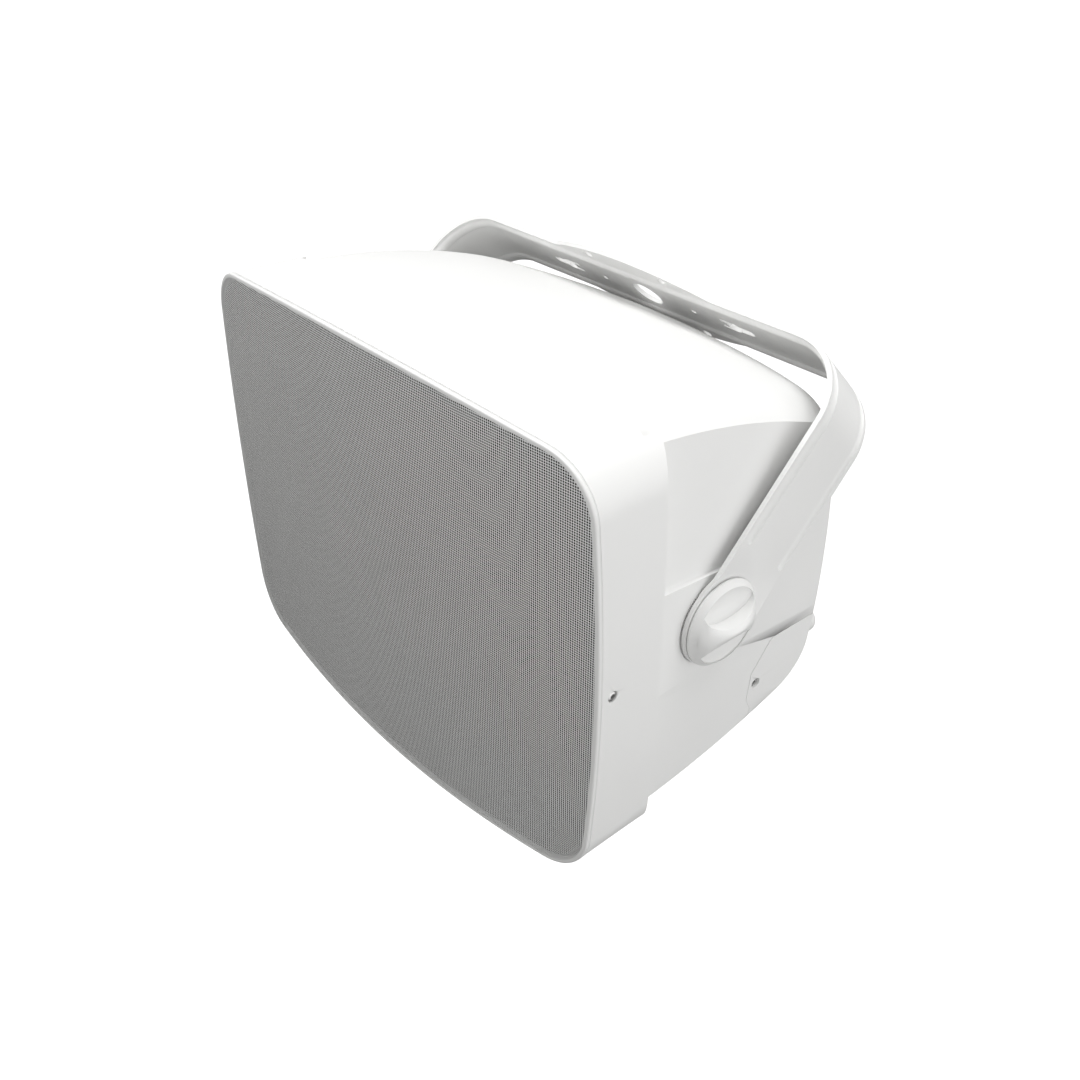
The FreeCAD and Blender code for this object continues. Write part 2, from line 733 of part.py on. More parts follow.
def cover_region(dy, dz):
    """The block that the rear cover is cut from, moved by dy and dz for gaps and walls."""
    low = -GRILLE_HEIGHT
    far = SHELL_BACK + GRILLE_HEIGHT
    seam = [
        (far, COVER_TOP, 0),
        (COVER_SHOULDER, COVER_TOP, COVER_SEAM_R),
        (COVER_NOSE, COVER_SCREW_Z + COVER_LOBE, COVER_SEAM_R),
        (COVER_NOSE, COVER_SCREW_Z - COVER_LOBE, COVER_SEAM_R),
        (COVER_FOOT, COVER_SCREW_Z - 2 * COVER_LOBE, COVER_SEAM_R),
        (COVER_FOOT, low, 0),
        (far, low, 0),
    ]
    face = rounded_face(seam, lambda y, z: Vec(-SHELL_WIDTH, y + dy, z + dz))
    return face.extrude(Vec(2 * SHELL_WIDTH, 0, 0))


def pad_wire(x, half):
    """Outline of the raised pad on the cabinet's side: narrowing from the bezel, round at the pivot."""
    front = SHELL_FRONT
    wide = half + PAD_SPREAD
    return Part.Wire([
        line(Vec(x, front, -wide), Vec(x, front, wide)),
        line(Vec(x, front, wide), Vec(x, PIVOT_Y, half)),
        arc(Vec(x, PIVOT_Y, half), Vec(x, PIVOT_Y + half, 0), Vec(x, PIVOT_Y, -half)),
        line(Vec(x, PIVOT_Y, -half), Vec(x, front, -wide)),
    ])


def side_pad():
    root = SHELL_SIDE - SHELL_WALL / 2
    slope = PAD_SLOPE * (PAD_FACE - root) / PAD_RISE
    return Part.makeLoft([pad_wire(root, PAD_HALF + slope), pad_wire(PAD_FACE, PAD_HALF)], True, True)


def pivot_boss():
    return rod(Vec(SHELL_SIDE - BOSS_DEPTH, PIVOT_Y, 0), ALONG_X, BOSS_DEPTH, BOSS_R)


def cover_boss():
    """The block inside the rear cover that takes its side screw."""
    outer = panel_x(COVER_SCREW_Z - COVER_BOSS) - COVER_WALL - SEAM_GAP
    return box((outer - COVER_BOSS_DEPTH, outer), (COVER_NOSE - SHELL_WALL / 2, COVER_SCREW_Y + COVER_BOSS),
               (COVER_SCREW_Z - COVER_BOSS, COVER_SCREW_Z + COVER_BOSS))


def board_spots():
    dx = BOARD_WIDTH / 2 - BOARD_INSET
    dy = BOARD_DEPTH / 2 - BOARD_INSET
    return [(BOARD_X + sx * dx, BOARD_Y + sy * dy) for sx in (-1, 1) for sy in (-1, 1)]


def enclosure():
    cavity = shell_solid(SHELL_WALL, SHELL_FRONT - CUT_PAST).cut(cover_region(-SHELL_WALL, SHELL_WALL))
    pad = side_pad().cut(bezel_back(SEAM_GAP))
    outside = joined([shell_solid(0, SHELL_FRONT)] + both_sides(pad))
    body = outside.cut(cavity).cut(cover_region(0, 0))
    root = SHELL_FRONT + TONGUE_ROOT
    tongue = shell_prism(TONGUE_INSET, TONGUE_FRONT, root)
    tongue = tongue.cut(shell_prism(TONGUE_INSET + TONGUE_WALL, TONGUE_FRONT, root))
    added = [tongue]
    added += [rod(Vec(x, TONGUE_FRONT, z), ALONG_Y, POST_ROOT, POST_R) for x, z in post_spots()]
    added += both_sides(pivot_boss()) + both_sides(cover_boss())
    board_root = BOARD_FLOOR - SHELL_WALL / 2
    added += [rod(Vec(x, y, board_root), ALONG_Z, BOARD_Z - board_root, BOARD_POST_R)
              for x, y in board_spots()]
    body = joined([body] + added)
    insert_bore = rod(Vec(SHELL_SIDE - BOSS_DEPTH + SHELL_WALL, PIVOT_Y, 0), ALONG_X,
                      BOSS_DEPTH + PAD_RISE, INSERT_R + RUN_GAP)
    cover_screw_hole = rod(cover_screw_seat(), Vec(-1, 0, 0), COVER_SCREW_LENGTH + PILOT_EXTRA,
                           COVER_SCREW_R + RUN_GAP)
    pocket = rod(Vec(RING_BACK, PIVOT_Y, 0), ALONG_X, RING_POCKET + CUT_PAST, EYE_R + SEAM_GAP)
    holes = both_sides(pocket) + both_sides(insert_bore) + both_sides(cover_screw_hole)
    holes += [rod(Vec(x, BAFFLE_FRONT, z), ALONG_Y, CLOSE_SCREW_LENGTH + PILOT_EXTRA, CLOSE_SCREW_R + RUN_GAP)
              for x, z in post_spots()]
    holes += [rod(Vec(x, y, BOARD_Z + BOARD_THICK), Vec(0, 0, -1), BOARD_SCREW_LENGTH + PILOT_EXTRA,
                  BOARD_SCREW_R + RUN_GAP) for x, y in board_spots()]
    for hole in holes:
        body = body.cut(hole)
    return body


# Rear cover and gland

def cover_screw_seat():
    return Vec(panel_x(COVER_SCREW_Z) - COVER_SCREW_HEAD - SEAM_GAP, COVER_SCREW_Y, COVER_SCREW_Z)


def rear_cover():
    region = cover_region(SEAM_GAP, -SEAM_GAP)
    body = shell_solid(0, SHELL_FRONT).common(region)
    body = body.cut(shell_solid(COVER_WALL, SHELL_FRONT - CUT_PAST))
    spot = Vec(GLAND_X, GLAND_SEAT - GLAND_TAIL, GLAND_Z)
    body = joined([body, rod(spot, ALONG_Y, GLAND_TAIL, GLAND_R)])
    body = body.cut(rod(spot - ALONG_Y, ALONG_Y, GLAND_TAIL + CUT_PAST, GLAND_THREAD_R + HOLE_GAP))
    seat = cover_screw_seat()
    well = rod(seat, ALONG_X, CUT_PAST, COVER_SCREW_WELL_R)
    shank = rod(seat, Vec(-1, 0, 0), CUT_PAST, COVER_SCREW_R + HOLE_GAP)
    for hole in both_sides(well) + both_sides(shank):
        body = body.cut(hole)
    return body


def rear_cover_screws():
    one = screw(cover_screw_seat(), Vec(-1, 0, 0), COVER_SCREW_HEAD_R, COVER_SCREW_HEAD,
                COVER_SCREW_R, COVER_SCREW_LENGTH)
    return group(both_sides(one))


def cable_gland():
    tail = GLAND_SEAT - GLAND_TAIL - GLAND_NUT
    nose = GLAND_SEAT + GLAND_REACH
    round_in = GLAND_ROUND * (1 - math.sqrt(0.5))
    return turned([
        (GLAND_BORE_R, tail), (GLAND_THREAD_R, tail), (GLAND_THREAD_R, GLAND_SEAT), (GLAND_R, GLAND_SEAT),
        (GLAND_R, nose - GLAND_ROUND), (GLAND_R - round_in, nose - round_in, GLAND_R - GLAND_ROUND, nose),
        (GLAND_BORE_R, nose),
    ], GLAND_X, GLAND_Z)


# Pivot pieces

def pivot_inserts():
    end = PAD_FACE - SEAT_GAP
    one = tube(Vec(end - INSERT_LENGTH, PIVOT_Y, 0), ALONG_X, INSERT_LENGTH, INSERT_R, STUD_R + RUN_GAP)
    return group(both_sides(one))


def toothed_ring():
    """A flat ring with radial V-shaped teeth round its face towards the bracket."""
    ring = tube(Vec(RING_BACK, PIVOT_Y, 0), ALONG_X, RING_THICK, EYE_R, RING_BORE_R)
    half = math.pi * EYE_R / TOOTH_COUNT * TOOTH_FILL
    root = EYE_R - TOOTH_LENGTH
    notch = Part.Face(Part.makePolygon([
        Vec(RING_FACE, PIVOT_Y - half, root), Vec(RING_FACE + TOOTH_DEPTH, PIVOT_Y, root),
        Vec(RING_FACE, PIVOT_Y + half, root), Vec(RING_FACE - TOOTH_DEPTH, PIVOT_Y, root),
        Vec(RING_FACE, PIVOT_Y - half, root)])).extrude(Vec(0, 0, 2 * TOOTH_LENGTH))
    notches = []
    for k in range(TOOTH_COUNT):
        turned_notch = notch.copy()
        turned_notch.rotate(Vec(0, PIVOT_Y, 0), ALONG_X, 360.0 * k / TOOTH_COUNT)
        notches.append(turned_notch)
    return ring.cut(notches)


def knob_cap():
    """A low domed knob with a scoop above and below its grip bar."""
    lift = KNOB_RISE - KNOB_RIM
    dome_r = (KNOB_R ** 2 + lift ** 2) / (2 * lift)
    half_turn = math.asin(KNOB_R / dome_r) / 2
    centre = KNOB_SEAT + KNOB_RISE - dome_r
    rim = Vec(KNOB_SEAT + KNOB_RIM, PIVOT_Y, KNOB_R)
    shoulder = Vec(centre + dome_r * math.cos(half_turn), PIVOT_Y, dome_r * math.sin(half_turn))
    top = Vec(KNOB_SEAT + KNOB_RISE, PIVOT_Y, 0)
    foot = Vec(KNOB_SEAT, PIVOT_Y, 0)
    edge = Vec(KNOB_SEAT, PIVOT_Y, KNOB_R)
    face = Part.Face(Part.Wire([line(foot, edge), line(edge, rim), arc(rim, shoulder, top), line(top, foot)]))
    body = face.revolve(foot, ALONG_X, 360)
    rim_edges = [item for item in body.Edges
                 if item.Length > KNOB_R and item.BoundBox.XMin > KNOB_SEAT + SEAT_GAP]
    body = body.makeFillet(KNOB_ROUND, rim_edges)
    over = KNOB_SEAT + KNOB_RISE + CUT_PAST
    floor = KNOB_SEAT + SCOOP_FLOOR
    lip = KNOB_SEAT + SCOOP_LIP
    lip_end = SCOOP_LIP_Z - (over - lip)
    reach = KNOB_R + CUT_PAST
    climb = floor + SCOOP_SLOPE * (reach - SCOOP_VALLEY) / (KNOB_R - KNOB_EDGE - SCOOP_VALLEY)
    room = rod(Vec(KNOB_SEAT, PIVOT_Y, 0), ALONG_X, over - KNOB_SEAT, KNOB_R - KNOB_EDGE)
    for sz in (1, -1):
        points = [(floor, SCOOP_VALLEY), (lip, SCOOP_LIP_Z), (over, lip_end), (over, reach), (climb, reach)]
        section = Part.makePolygon([Vec(x, PIVOT_Y - KNOB_R, sz * z) for x, z in points + points[:1]])
        scoop = Part.Face(section).extrude(Vec(0, 2 * KNOB_R, 0)).common(room)
        body = body.cut(scoop)
    return body.cut(rod(foot, ALONG_X, KNOB_STUD_GRIP, STUD_R + RUN_GAP))


def knob_stud():
    end = KNOB_SEAT + KNOB_STUD_GRIP
    return rod(Vec(end - STUD_LENGTH, PIVOT_Y, 0), ALONG_X, STUD_LENGTH, STUD_R)


# Bracket, drawn with its arms upright and the pivot at the origin

def crossbar_distance():
    """From the pivot to the crossbar's outer face, so that the bar swings clear of the rear corners."""
    _, _, (bend, corner) = shell_circles(0.0, 0.0)
    return math.hypot(bend[0] - PIVOT_Y, bend[1]) + corner + CROSSBAR_GAP + SHEET


ARM_LENGTH = crossbar_distance()
ARM_TURN = math.radians(TILT_AT_REST)
MOUNT = Vec(0, PIVOT_Y + ARM_LENGTH * math.sin(ARM_TURN), ARM_LENGTH * math.cos(ARM_TURN))


def u_fill(offset):
    """The space inside the U, from its outer face less an offset."""
    half = ARM_OUTER - offset
    top = ARM_LENGTH - offset
    low = -EYE_R - CUT_PAST
    bend = BEND_R - offset
    face = rounded_face([(-half, low, 0), (half, low, 0), (half, top, bend), (-half, top, bend)],
                        lambda x, s: Vec(x, -ARM_WIDTH, s))
    return face.extrude(Vec(0, 2 * ARM_WIDTH, 0))


def arm_outline():
    """Side view of the arms: a round end and a straight arm; free above the bends."""
    split = ARM_LENGTH - BEND_R
    x = -ARM_OUTER - CUT_PAST
    top = ARM_LENGTH + CUT_PAST
    corners = [(EYE_R, 0.0), (EYE_R, split), (ARM_WIDTH, split), (ARM_WIDTH, top)]
    right = [Vec(x, y, z) for y, z in corners]
    left = [Vec(x, -y, z) for y, z in corners]
    points = right + left[::-1]
    edges = [line(first, second) for first, second in zip(points, points[1:])]
    edges.append(arc(left[0], Vec(x, 0, -EYE_R), right[0]))
    return Part.Face(Part.Wire(edges)).extrude(Vec(-2 * x, 0, 0))


def eye_press(depth):
    """The press that sinks an arm's round end: a flat round seat with a sloped wall, its floor at a depth."""
    floor = ARM_OUTER - depth
    seat_r = KNOB_R + EYE_SEAT_GAP
    seat = Vec(floor, 0, 0)
    return Part.makeCone(seat_r, seat_r + EYE_RAMP, EYE_SINK, seat, ALONG_X)


def bar_outline():
    """Plan of the crossbar: arm width, with a curved wing on each edge."""
    half = ARM_WIDTH / 2
    span = WING_SPAN / 2
    end = ARM_OUTER + CUT_PAST
    z = ARM_LENGTH - BEND_R
    edges = []
    for side in (1, -1):
        edges += [
            line(Vec(-side * end, side * half, z), Vec(-side * span, side * half, z)),
            arc(Vec(-side * span, side * half, z), Vec(0, side * (half + WING_RISE), z),
                Vec(side * span, side * half, z)),
            line(Vec(side * span, side * half, z), Vec(side * end, side * half, z)),
            line(Vec(side * end, side * half, z), Vec(side * end, -side * half, z)),
        ]
    return Part.Face(Part.Wire(edges)).extrude(Vec(0, 0, BEND_R + CUT_PAST))


def bead(radius):
    """A round bar that follows the outside of the U, with round ends; it presses or cuts a bead."""
    half = ARM_OUTER + BEAD_LIFT
    top = ARM_LENGTH + BEAD_LIFT
    bend = BEND_R + BEAD_LIFT
    corner = bend * (1 - math.sqrt(0.5))
    low = Vec(half, 0, BEAD_END)
    path = Part.Wire([
        line(low, Vec(half, 0, top - bend)),
        arc(Vec(half, 0, top - bend), Vec(half - corner, 0, top - corner), Vec(half - bend, 0, top)),
        line(Vec(half - bend, 0, top), Vec(bend - half, 0, top)),
        arc(Vec(bend - half, 0, top), Vec(corner - half, 0, top - corner), Vec(-half, 0, top - bend)),
        line(Vec(-half, 0, top - bend), Vec(-half, 0, BEAD_END)),
    ])
    section = Part.Wire([Part.Circle(low, ALONG_Z, radius).toShape()])
    bar = path.makePipeShell([section], True, False)
    balls = [Part.makeSphere(radius, Vec(side * half, 0, BEAD_END)) for side in (1, -1)]
    return joined([bar] + balls)


def keyhole():
    """A round hole with a narrower slot outwards and two thin prongs inwards."""
    low = ARM_LENGTH - SHEET - CUT_PAST
    deep = SHEET + 2 * CUT_PAST
    prong = KEYHOLE_PRONG_APART / 2
    top = low + deep
    parts = [
        rod(Vec(KEYHOLE_X, 0, low), ALONG_Z, deep, KEYHOLE_R),
        rod(Vec(KEYHOLE_X + KEYHOLE_SLOT, 0, low), ALONG_Z, deep, KEYHOLE_SLOT_R),
        box((KEYHOLE_X, KEYHOLE_X + KEYHOLE_SLOT), (-KEYHOLE_SLOT_R, KEYHOLE_SLOT_R), (low, top)),
    ]
    for w in (prong, -prong):
        tip = KEYHOLE_X - KEYHOLE_PRONG
        parts.append(rod(Vec(tip, w, low), ALONG_Z, deep, KEYHOLE_PRONG_R))
        parts.append(box((tip, KEYHOLE_X), (w - KEYHOLE_PRONG_R, w + KEYHOLE_PRONG_R), (low, top)))
    return joined(parts)


def bar_holes():
    low = ARM_LENGTH - SHEET - CUT_PAST
    deep = SHEET + 2 * CUT_PAST
    half = WING_HOLE_PITCH / 2
    spots = [(0.0, 0.0, CENTRE_HOLE_R)]
    spots += [(side * BOX_HOLE_PITCH / 2, 0.0, BOX_HOLE_R) for side in (1, -1)]
    spots += [(sx * half, sw * half, WING_HOLE_R) for sx in (1, -1) for sw in (1, -1)]
    return [rod(Vec(x, w, low), ALONG_Z, deep, radius) for x, w, radius in spots] + both_sides(keyhole())


def at_rest_tilt(shape):
    """Lean a piece drawn upright back to the bracket's angle, about the pivot."""
    leaned = shape.copy()
    leaned.rotate(Vec(0, 0, 0), ALONG_X, -TILT_AT_REST)
    leaned.translate(Vec(0, PIVOT_Y, 0))
    return leaned


def u_bracket():
    filled = u_fill(0)
    sheet = filled.cut(u_fill(SHEET)).common(arm_outline())
    split = ARM_LENGTH - BEND_R
    end = ARM_OUTER + CUT_PAST
    room = box((-end, end), (-ARM_WIDTH - CUT_PAST, ARM_WIDTH + CUT_PAST), (split, ARM_LENGTH + CUT_PAST))
    sheet = sheet.cut(room.cut(bar_outline()))
    outline = arm_outline()
    for press in both_sides(eye_press(EYE_SINK + SHEET)):
        sheet = sheet.fuse(press.common(outline))
    for press in both_sides(eye_press(EYE_SINK)):
        sheet = sheet.cut(press)
    ridge = bead(BEAD_R + SHEET).common(filled)
    groove = bead(BEAD_R)
    for w in (BEAD_OFFSET, -BEAD_OFFSET):
        sheet = sheet.fuse(ridge.translated(Vec(0, w, 0)))
    for w in (BEAD_OFFSET, -BEAD_OFFSET):
        sheet = sheet.cut(groove.translated(Vec(0, w, 0)))
    for hole in bar_holes():
        sheet = sheet.cut(hole)
    pin = rod(Vec(-end, 0, 0), ALONG_X, 2 * end, STUD_HOLE_R)
    return at_rest_tilt(sheet.cut(pin).removeSplitter())


# Woofer

def woofer_spots():
    return ring_spots(WOOFER_X, 0, WOOFER_SCREW_PCD_R, WOOFER_SCREWS)


def woofer_basket():
    rear = WOOFER_SEAT + WOOFER_DEPTH
    wall = BASKET_WALL / math.sqrt(0.5)
    body = turned([
        (WOOFER_LIP_R, WOOFER_SEAT), (WOOFER_FLANGE_R, WOOFER_SEAT), (WOOFER_FLANGE_R, BAFFLE_FRONT),
        (WOOFER_LIP_R + BASKET_WALL, BAFFLE_FRONT), (WOOFER_LIP_R + BASKET_WALL, BAFFLE_FRONT + wall),
        (BASKET_NECK_R + wall, SPIDER_Y), (BASKET_NECK_R + wall, rear), (BASKET_BASE_R, rear),
        (BASKET_BASE_R, rear + BASKET_BASE), (BASKET_BORE_R, rear + BASKET_BASE), (BASKET_BORE_R, rear),
        (BASKET_NECK_R, rear), (BASKET_NECK_R, SPIDER_Y + BASKET_WALL), (SPIDER_R, SPIDER_Y + BASKET_WALL),
        (SPIDER_R, SPIDER_Y), (BASKET_NECK_R, SPIDER_Y), (WOOFER_LIP_R, BAFFLE_FRONT),
    ], WOOFER_X, 0)
    middle = (BAFFLE_FRONT + SPIDER_Y) / 2
    for x, z in ring_spots(0, 0, 1, BASKET_WINDOWS):
        body = body.cut(rod(Vec(WOOFER_X, middle, 0), Vec(x, 0, z), WOOFER_FLANGE_R, BASKET_WINDOW_R))
    return drilled(body, woofer_spots(), WOOFER_SEAT, BAFFLE_FRONT, WOOFER_SCREW_R + HOLE_GAP)


def woofer_gasket():
    ring = tube(Vec(WOOFER_X, WOOFER_SEAT - WOOFER_GASKET, 0), ALONG_Y, WOOFER_GASKET,
                WOOFER_FLANGE_R, WOOFER_SEAT_R + SEAT_GAP)
    return drilled(ring, woofer_spots(), WOOFER_SEAT - WOOFER_GASKET, WOOFER_SEAT, WOOFER_SCREW_R + HOLE_GAP)


def woofer_screws():
    seat = WOOFER_SEAT - WOOFER_GASKET
    return group([screw(Vec(x, seat, z), ALONG_Y, WOOFER_SCREW_HEAD_R, WOOFER_SCREW_HEAD,
                        WOOFER_SCREW_R, WOOFER_SCREW_LENGTH) for x, z in woofer_spots()])


def cone_y(radius):
    """Where the cone's front surface is at a radius."""
    share = (radius - CONE_NECK_R) / (CONE_EDGE_R - CONE_NECK_R)
    return CONE_NECK_Y - share * (CONE_NECK_Y - CONE_EDGE_Y)


def woofer_cone():
    return turned([
        (CONE_NECK_R, CONE_NECK_Y), (CONE_EDGE_R, CONE_EDGE_Y), (CONE_EDGE_R, CONE_EDGE_Y + CONE_THICK),
        (CONE_NECK_R, CONE_NECK_Y + CONE_THICK),
    ], WOOFER_X, 0)


def woofer_dust_cap():
    """A thin shallow dome that closes the cone's neck."""
    rim = cone_y(CAP_R) - RUN_GAP
    outer = (CAP_R ** 2 + CAP_RISE ** 2) / (2 * CAP_RISE)
    centre = Vec(WOOFER_X, rim - CAP_RISE + outer, 0)
    dome = Part.makeSphere(outer, centre).cut(Part.makeSphere(outer - CONE_THICK, centre))
    return dome.common(rod(Vec(WOOFER_X, rim, 0), Vec(0, -1, 0), CAP_RISE + CUT_PAST, CAP_R + CUT_PAST))


def woofer_voice_coil():
    start = CONE_NECK_Y - COIL_LEAD
    former = tube(Vec(WOOFER_X, start, 0), ALONG_Y, COIL_LENGTH, COIL_R + COIL_WALL, COIL_R)
    middle = TOP_PLATE_Y + TOP_PLATE / 2
    winding = tube(Vec(WOOFER_X, middle - COIL_WINDING_LENGTH / 2, 0), ALONG_Y, COIL_WINDING_LENGTH,
                   COIL_R + COIL_WALL + COIL_WINDING, COIL_R + COIL_WALL / 2)
    return joined([former, winding])


def woofer_surround():
    front = WOOFER_SEAT - SURROUND_THICK
    middle = (CONE_EDGE_R + WOOFER_LIP_R) / 2
    roll = (WOOFER_LIP_R - CONE_EDGE_R) / 2
    return turned([
        (CONE_EDGE_R, WOOFER_SEAT), (CONE_EDGE_R, front), (middle, front - roll, WOOFER_LIP_R, front),
        (WOOFER_SEAT_R, front), (WOOFER_SEAT_R, WOOFER_SEAT), (WOOFER_LIP_R - SURROUND_THICK, WOOFER_SEAT),
        (middle, WOOFER_SEAT - roll + SURROUND_THICK, CONE_EDGE_R + SURROUND_THICK, WOOFER_SEAT),
    ], WOOFER_X, 0)


def woofer_spider():
    """A corrugated disc from the coil to its ledge in the basket."""
    inner = COIL_R + COIL_WALL + RUN_GAP
    outer = SPIDER_R - SPIDER_WAVE
    step = (outer - inner) / (2 * SPIDER_WAVES)
    back = [(inner + k * step, SPIDER_Y - (k % 2) * SPIDER_WAVE) for k in range(2 * SPIDER_WAVES + 1)]
    back.append((BASKET_NECK_R - SEAT_GAP, SPIDER_Y))
    front = [(radius, y - SPIDER_THICK) for radius, y in reversed(back)]
    return turned(back + front, WOOFER_X, 0)


def woofer_top_plate():
    return tube(Vec(WOOFER_X, TOP_PLATE_Y, 0), ALONG_Y, TOP_PLATE, TOP_PLATE_R, MAGNET_GAP_R)


def woofer_magnet():
    return tube(Vec(WOOFER_X, MAGNET_Y, 0), ALONG_Y, MAGNET, MAGNET_R, MAGNET_BORE_R)


def woofer_back_plate():
    plate = rod(Vec(WOOFER_X, BACK_PLATE_Y, 0), ALONG_Y, BACK_PLATE, BACK_PLATE_R)
    pole = rod(Vec(WOOFER_X, TOP_PLATE_Y, 0), ALONG_Y, BACK_PLATE_Y - TOP_PLATE_Y, POLE_R)
    rear = BACK_PLATE_Y + BACK_PLATE
    return drilled(joined([plate, pole]), [(WOOFER_X, 0)], TOP_PLATE_Y, rear, POLE_VENT_R)


# Horn and high-frequency driver

def horn_face(width, height, corner, y):
    corners = [(HORN_X + sx * width / 2, sz * height / 2, corner)
               for sx, sz in ((-1, -1), (1, -1), (1, 1), (-1, 1))]
    return rounded_face(corners, lambda x, z: Vec(x, y, z))


def horn_block(grow, y_from, y_to):
    """A straight block of the horn's mouth, grown on every side."""
    margin = 2 * (grow - HORN_RIM)
    face = horn_face(HORN_WIDTH + margin, HORN_HEIGHT + margin, HORN_CORNER + grow, y_from)
    return face.extrude(Vec(0, y_to - y_from, 0))


def horn_flare(grow):
    """The horn's passage from mouth to throat, grown on every side."""
    wires = []
    throat = 2 * THROAT_R
    for k in range(HORN_SECTIONS + 1):
        left = (1 - k / HORN_SECTIONS) ** HORN_CURVE
        width = throat + (HORN_WIDTH - 2 * HORN_RIM - throat) * left
        height = throat + (HORN_HEIGHT - 2 * HORN_RIM - throat) * left
        corner = THROAT_R * HORN_THROAT_ROUND + (HORN_CORNER - THROAT_R * HORN_THROAT_ROUND) * left
        y = HORN_SEAT + HORN_DEPTH * k / HORN_SECTIONS
        wires.append(horn_face(width + 2 * grow, height + 2 * grow, corner + grow, y).OuterWire)
    return Part.makeLoft(wires, True, False)


def hf_horn():
    plate = horn_face(HORN_WIDTH, HORN_HEIGHT, HORN_CORNER, HORN_SEAT).extrude(Vec(0, HORN_FLANGE, 0))
    tail = rod(Vec(HORN_X, HORN_END - HORN_FLANGE, 0), ALONG_Y, HORN_FLANGE, DRIVER_FLANGE_R)
    body = joined([horn_flare(HORN_WALL), plate, tail]).cut(horn_flare(0))
    return drilled(body, horn_spots(), HORN_SEAT, BAFFLE_FRONT, HORN_SCREW_R + HOLE_GAP)


def horn_screws():
    return group([screw(Vec(x, HORN_SEAT, z), ALONG_Y, HORN_SCREW_HEAD_R, HORN_SCREW_HEAD,
                        HORN_SCREW_R, HORN_SCREW_LENGTH) for x, z in horn_spots()])


def hf_driver():
    rear = HORN_END + DRIVER_FLANGE
    end = rear + DRIVER_LENGTH
    return turned([
        (0.0, rear), (THROAT_R, rear), (THROAT_R, HORN_END), (DRIVER_FLANGE_R, HORN_END),
        (DRIVER_FLANGE_R, rear), (DRIVER_R, rear), (DRIVER_R, end), (0.0, end),
    ], HORN_X, 0)


def hf_driver_cap():
    start = HORN_END + DRIVER_FLANGE + DRIVER_LENGTH
    end = start + DRIVER_CAP
    round_in = DRIVER_CAP_ROUND * (1 - math.sqrt(0.5))
    return turned([
        (0.0, start), (DRIVER_CAP_R, start), (DRIVER_CAP_R, end - DRIVER_CAP_ROUND),
        (DRIVER_CAP_R - round_in, end - round_in, DRIVER_CAP_R - DRIVER_CAP_ROUND, end), (0.0, end),
    ], HORN_X, 0)


# Ports

def port_tube(z):
    front = BAFFLE_FRONT - PORT_WALL
    outer = PORT_R + PORT_WALL
    return turned([
        (PORT_R + PORT_FLARE, front), (outer + PORT_FLARE, front), (outer + PORT_FLARE, BAFFLE_FRONT),
        (outer, BAFFLE_FRONT), (outer, front + PORT_LENGTH), (PORT_R, front + PORT_LENGTH),
        (PORT_R, BAFFLE_FRONT + PORT_WALL),
    ], PORT_X, z)


# Crossover and connections

def crossover_board():
    half_w = BOARD_WIDTH / 2
    half_d = BOARD_DEPTH / 2
    board = box((BOARD_X - half_w, BOARD_X + half_w), (BOARD_Y - half_d, BOARD_Y + half_d),
                (BOARD_Z, BOARD_Z + BOARD_THICK))
    for x, y in board_spots():
        board = board.cut(rod(Vec(x, y, BOARD_Z - CUT_PAST), ALONG_Z, 2 * CUT_PAST, BOARD_SCREW_R + HOLE_GAP))
    return board


def board_screws():
    top = BOARD_Z + BOARD_THICK
    return group([screw(Vec(x, y, top), Vec(0, 0, -1), BOARD_SCREW_HEAD_R, BOARD_SCREW_HEAD,
                        BOARD_SCREW_R, BOARD_SCREW_LENGTH) for x, y in board_spots()])


def crossover_inductors():
    top = BOARD_Z + BOARD_THICK
    return group([tube(Vec(x, BOARD_Y, top), ALONG_Z, COIL_FORM_HEIGHT, COIL_FORM_R, COIL_FORM_BORE_R)
                  for x in (FIRST_COIL_X, SECOND_COIL_X)])


def crossover_capacitors():
    z = BOARD_Z + BOARD_THICK + CAPACITOR_R
    start = BOARD_Y - CAPACITOR_LENGTH / 2
    return group([rod(Vec(x, start, z), ALONG_Y, CAPACITOR_LENGTH, CAPACITOR_R)
                  for x in (FIRST_CAPACITOR_X, SECOND_CAPACITOR_X)])


def crossover_resistor():
    top = BOARD_Z + BOARD_THICK
    half = RESISTOR_LENGTH / 2
    return box((RESISTOR_X, RESISTOR_X + RESISTOR_SIZE), (BOARD_Y - half, BOARD_Y + half),
               (top, top + RESISTOR_SIZE))


def terminal_xs():
    return [TERMINAL_PITCH * (k - (TERMINAL_COUNT - 1) / 2) for k in range(TERMINAL_COUNT)]


def terminal_block():
    half = TERMINAL_COUNT * TERMINAL_PITCH / 2
    low = COVER_TOP - TERMINAL_HEIGHT
    middle = COVER_TOP - TERMINAL_HEIGHT / 2
    rear = TERMINAL_Y + TERMINAL_DEPTH / 2
    block = box((-half, half), (TERMINAL_Y - TERMINAL_DEPTH / 2, rear), (low, COVER_TOP))
    for x in terminal_xs():
        block = block.cut(rod(Vec(x, rear - TERMINAL_SCREW_LENGTH, middle), ALONG_Y, TERMINAL_DEPTH,
                              TERMINAL_SCREW_R + RUN_GAP))
        block = block.cut(rod(Vec(x, TERMINAL_Y, low), ALONG_Z, TERMINAL_HEIGHT / 2, TERMINAL_WIRE_R))
    return block


def terminal_screws():
    middle = COVER_TOP - TERMINAL_HEIGHT / 2
    start = TERMINAL_Y + TERMINAL_DEPTH / 2 - TERMINAL_SCREW_LENGTH
    length = TERMINAL_SCREW_LENGTH - TERMINAL_SCREW_SINK
    return group([rod(Vec(x, start, middle), ALONG_Y, length, TERMINAL_SCREW_R)
                  for x in terminal_xs()])


# All pieces

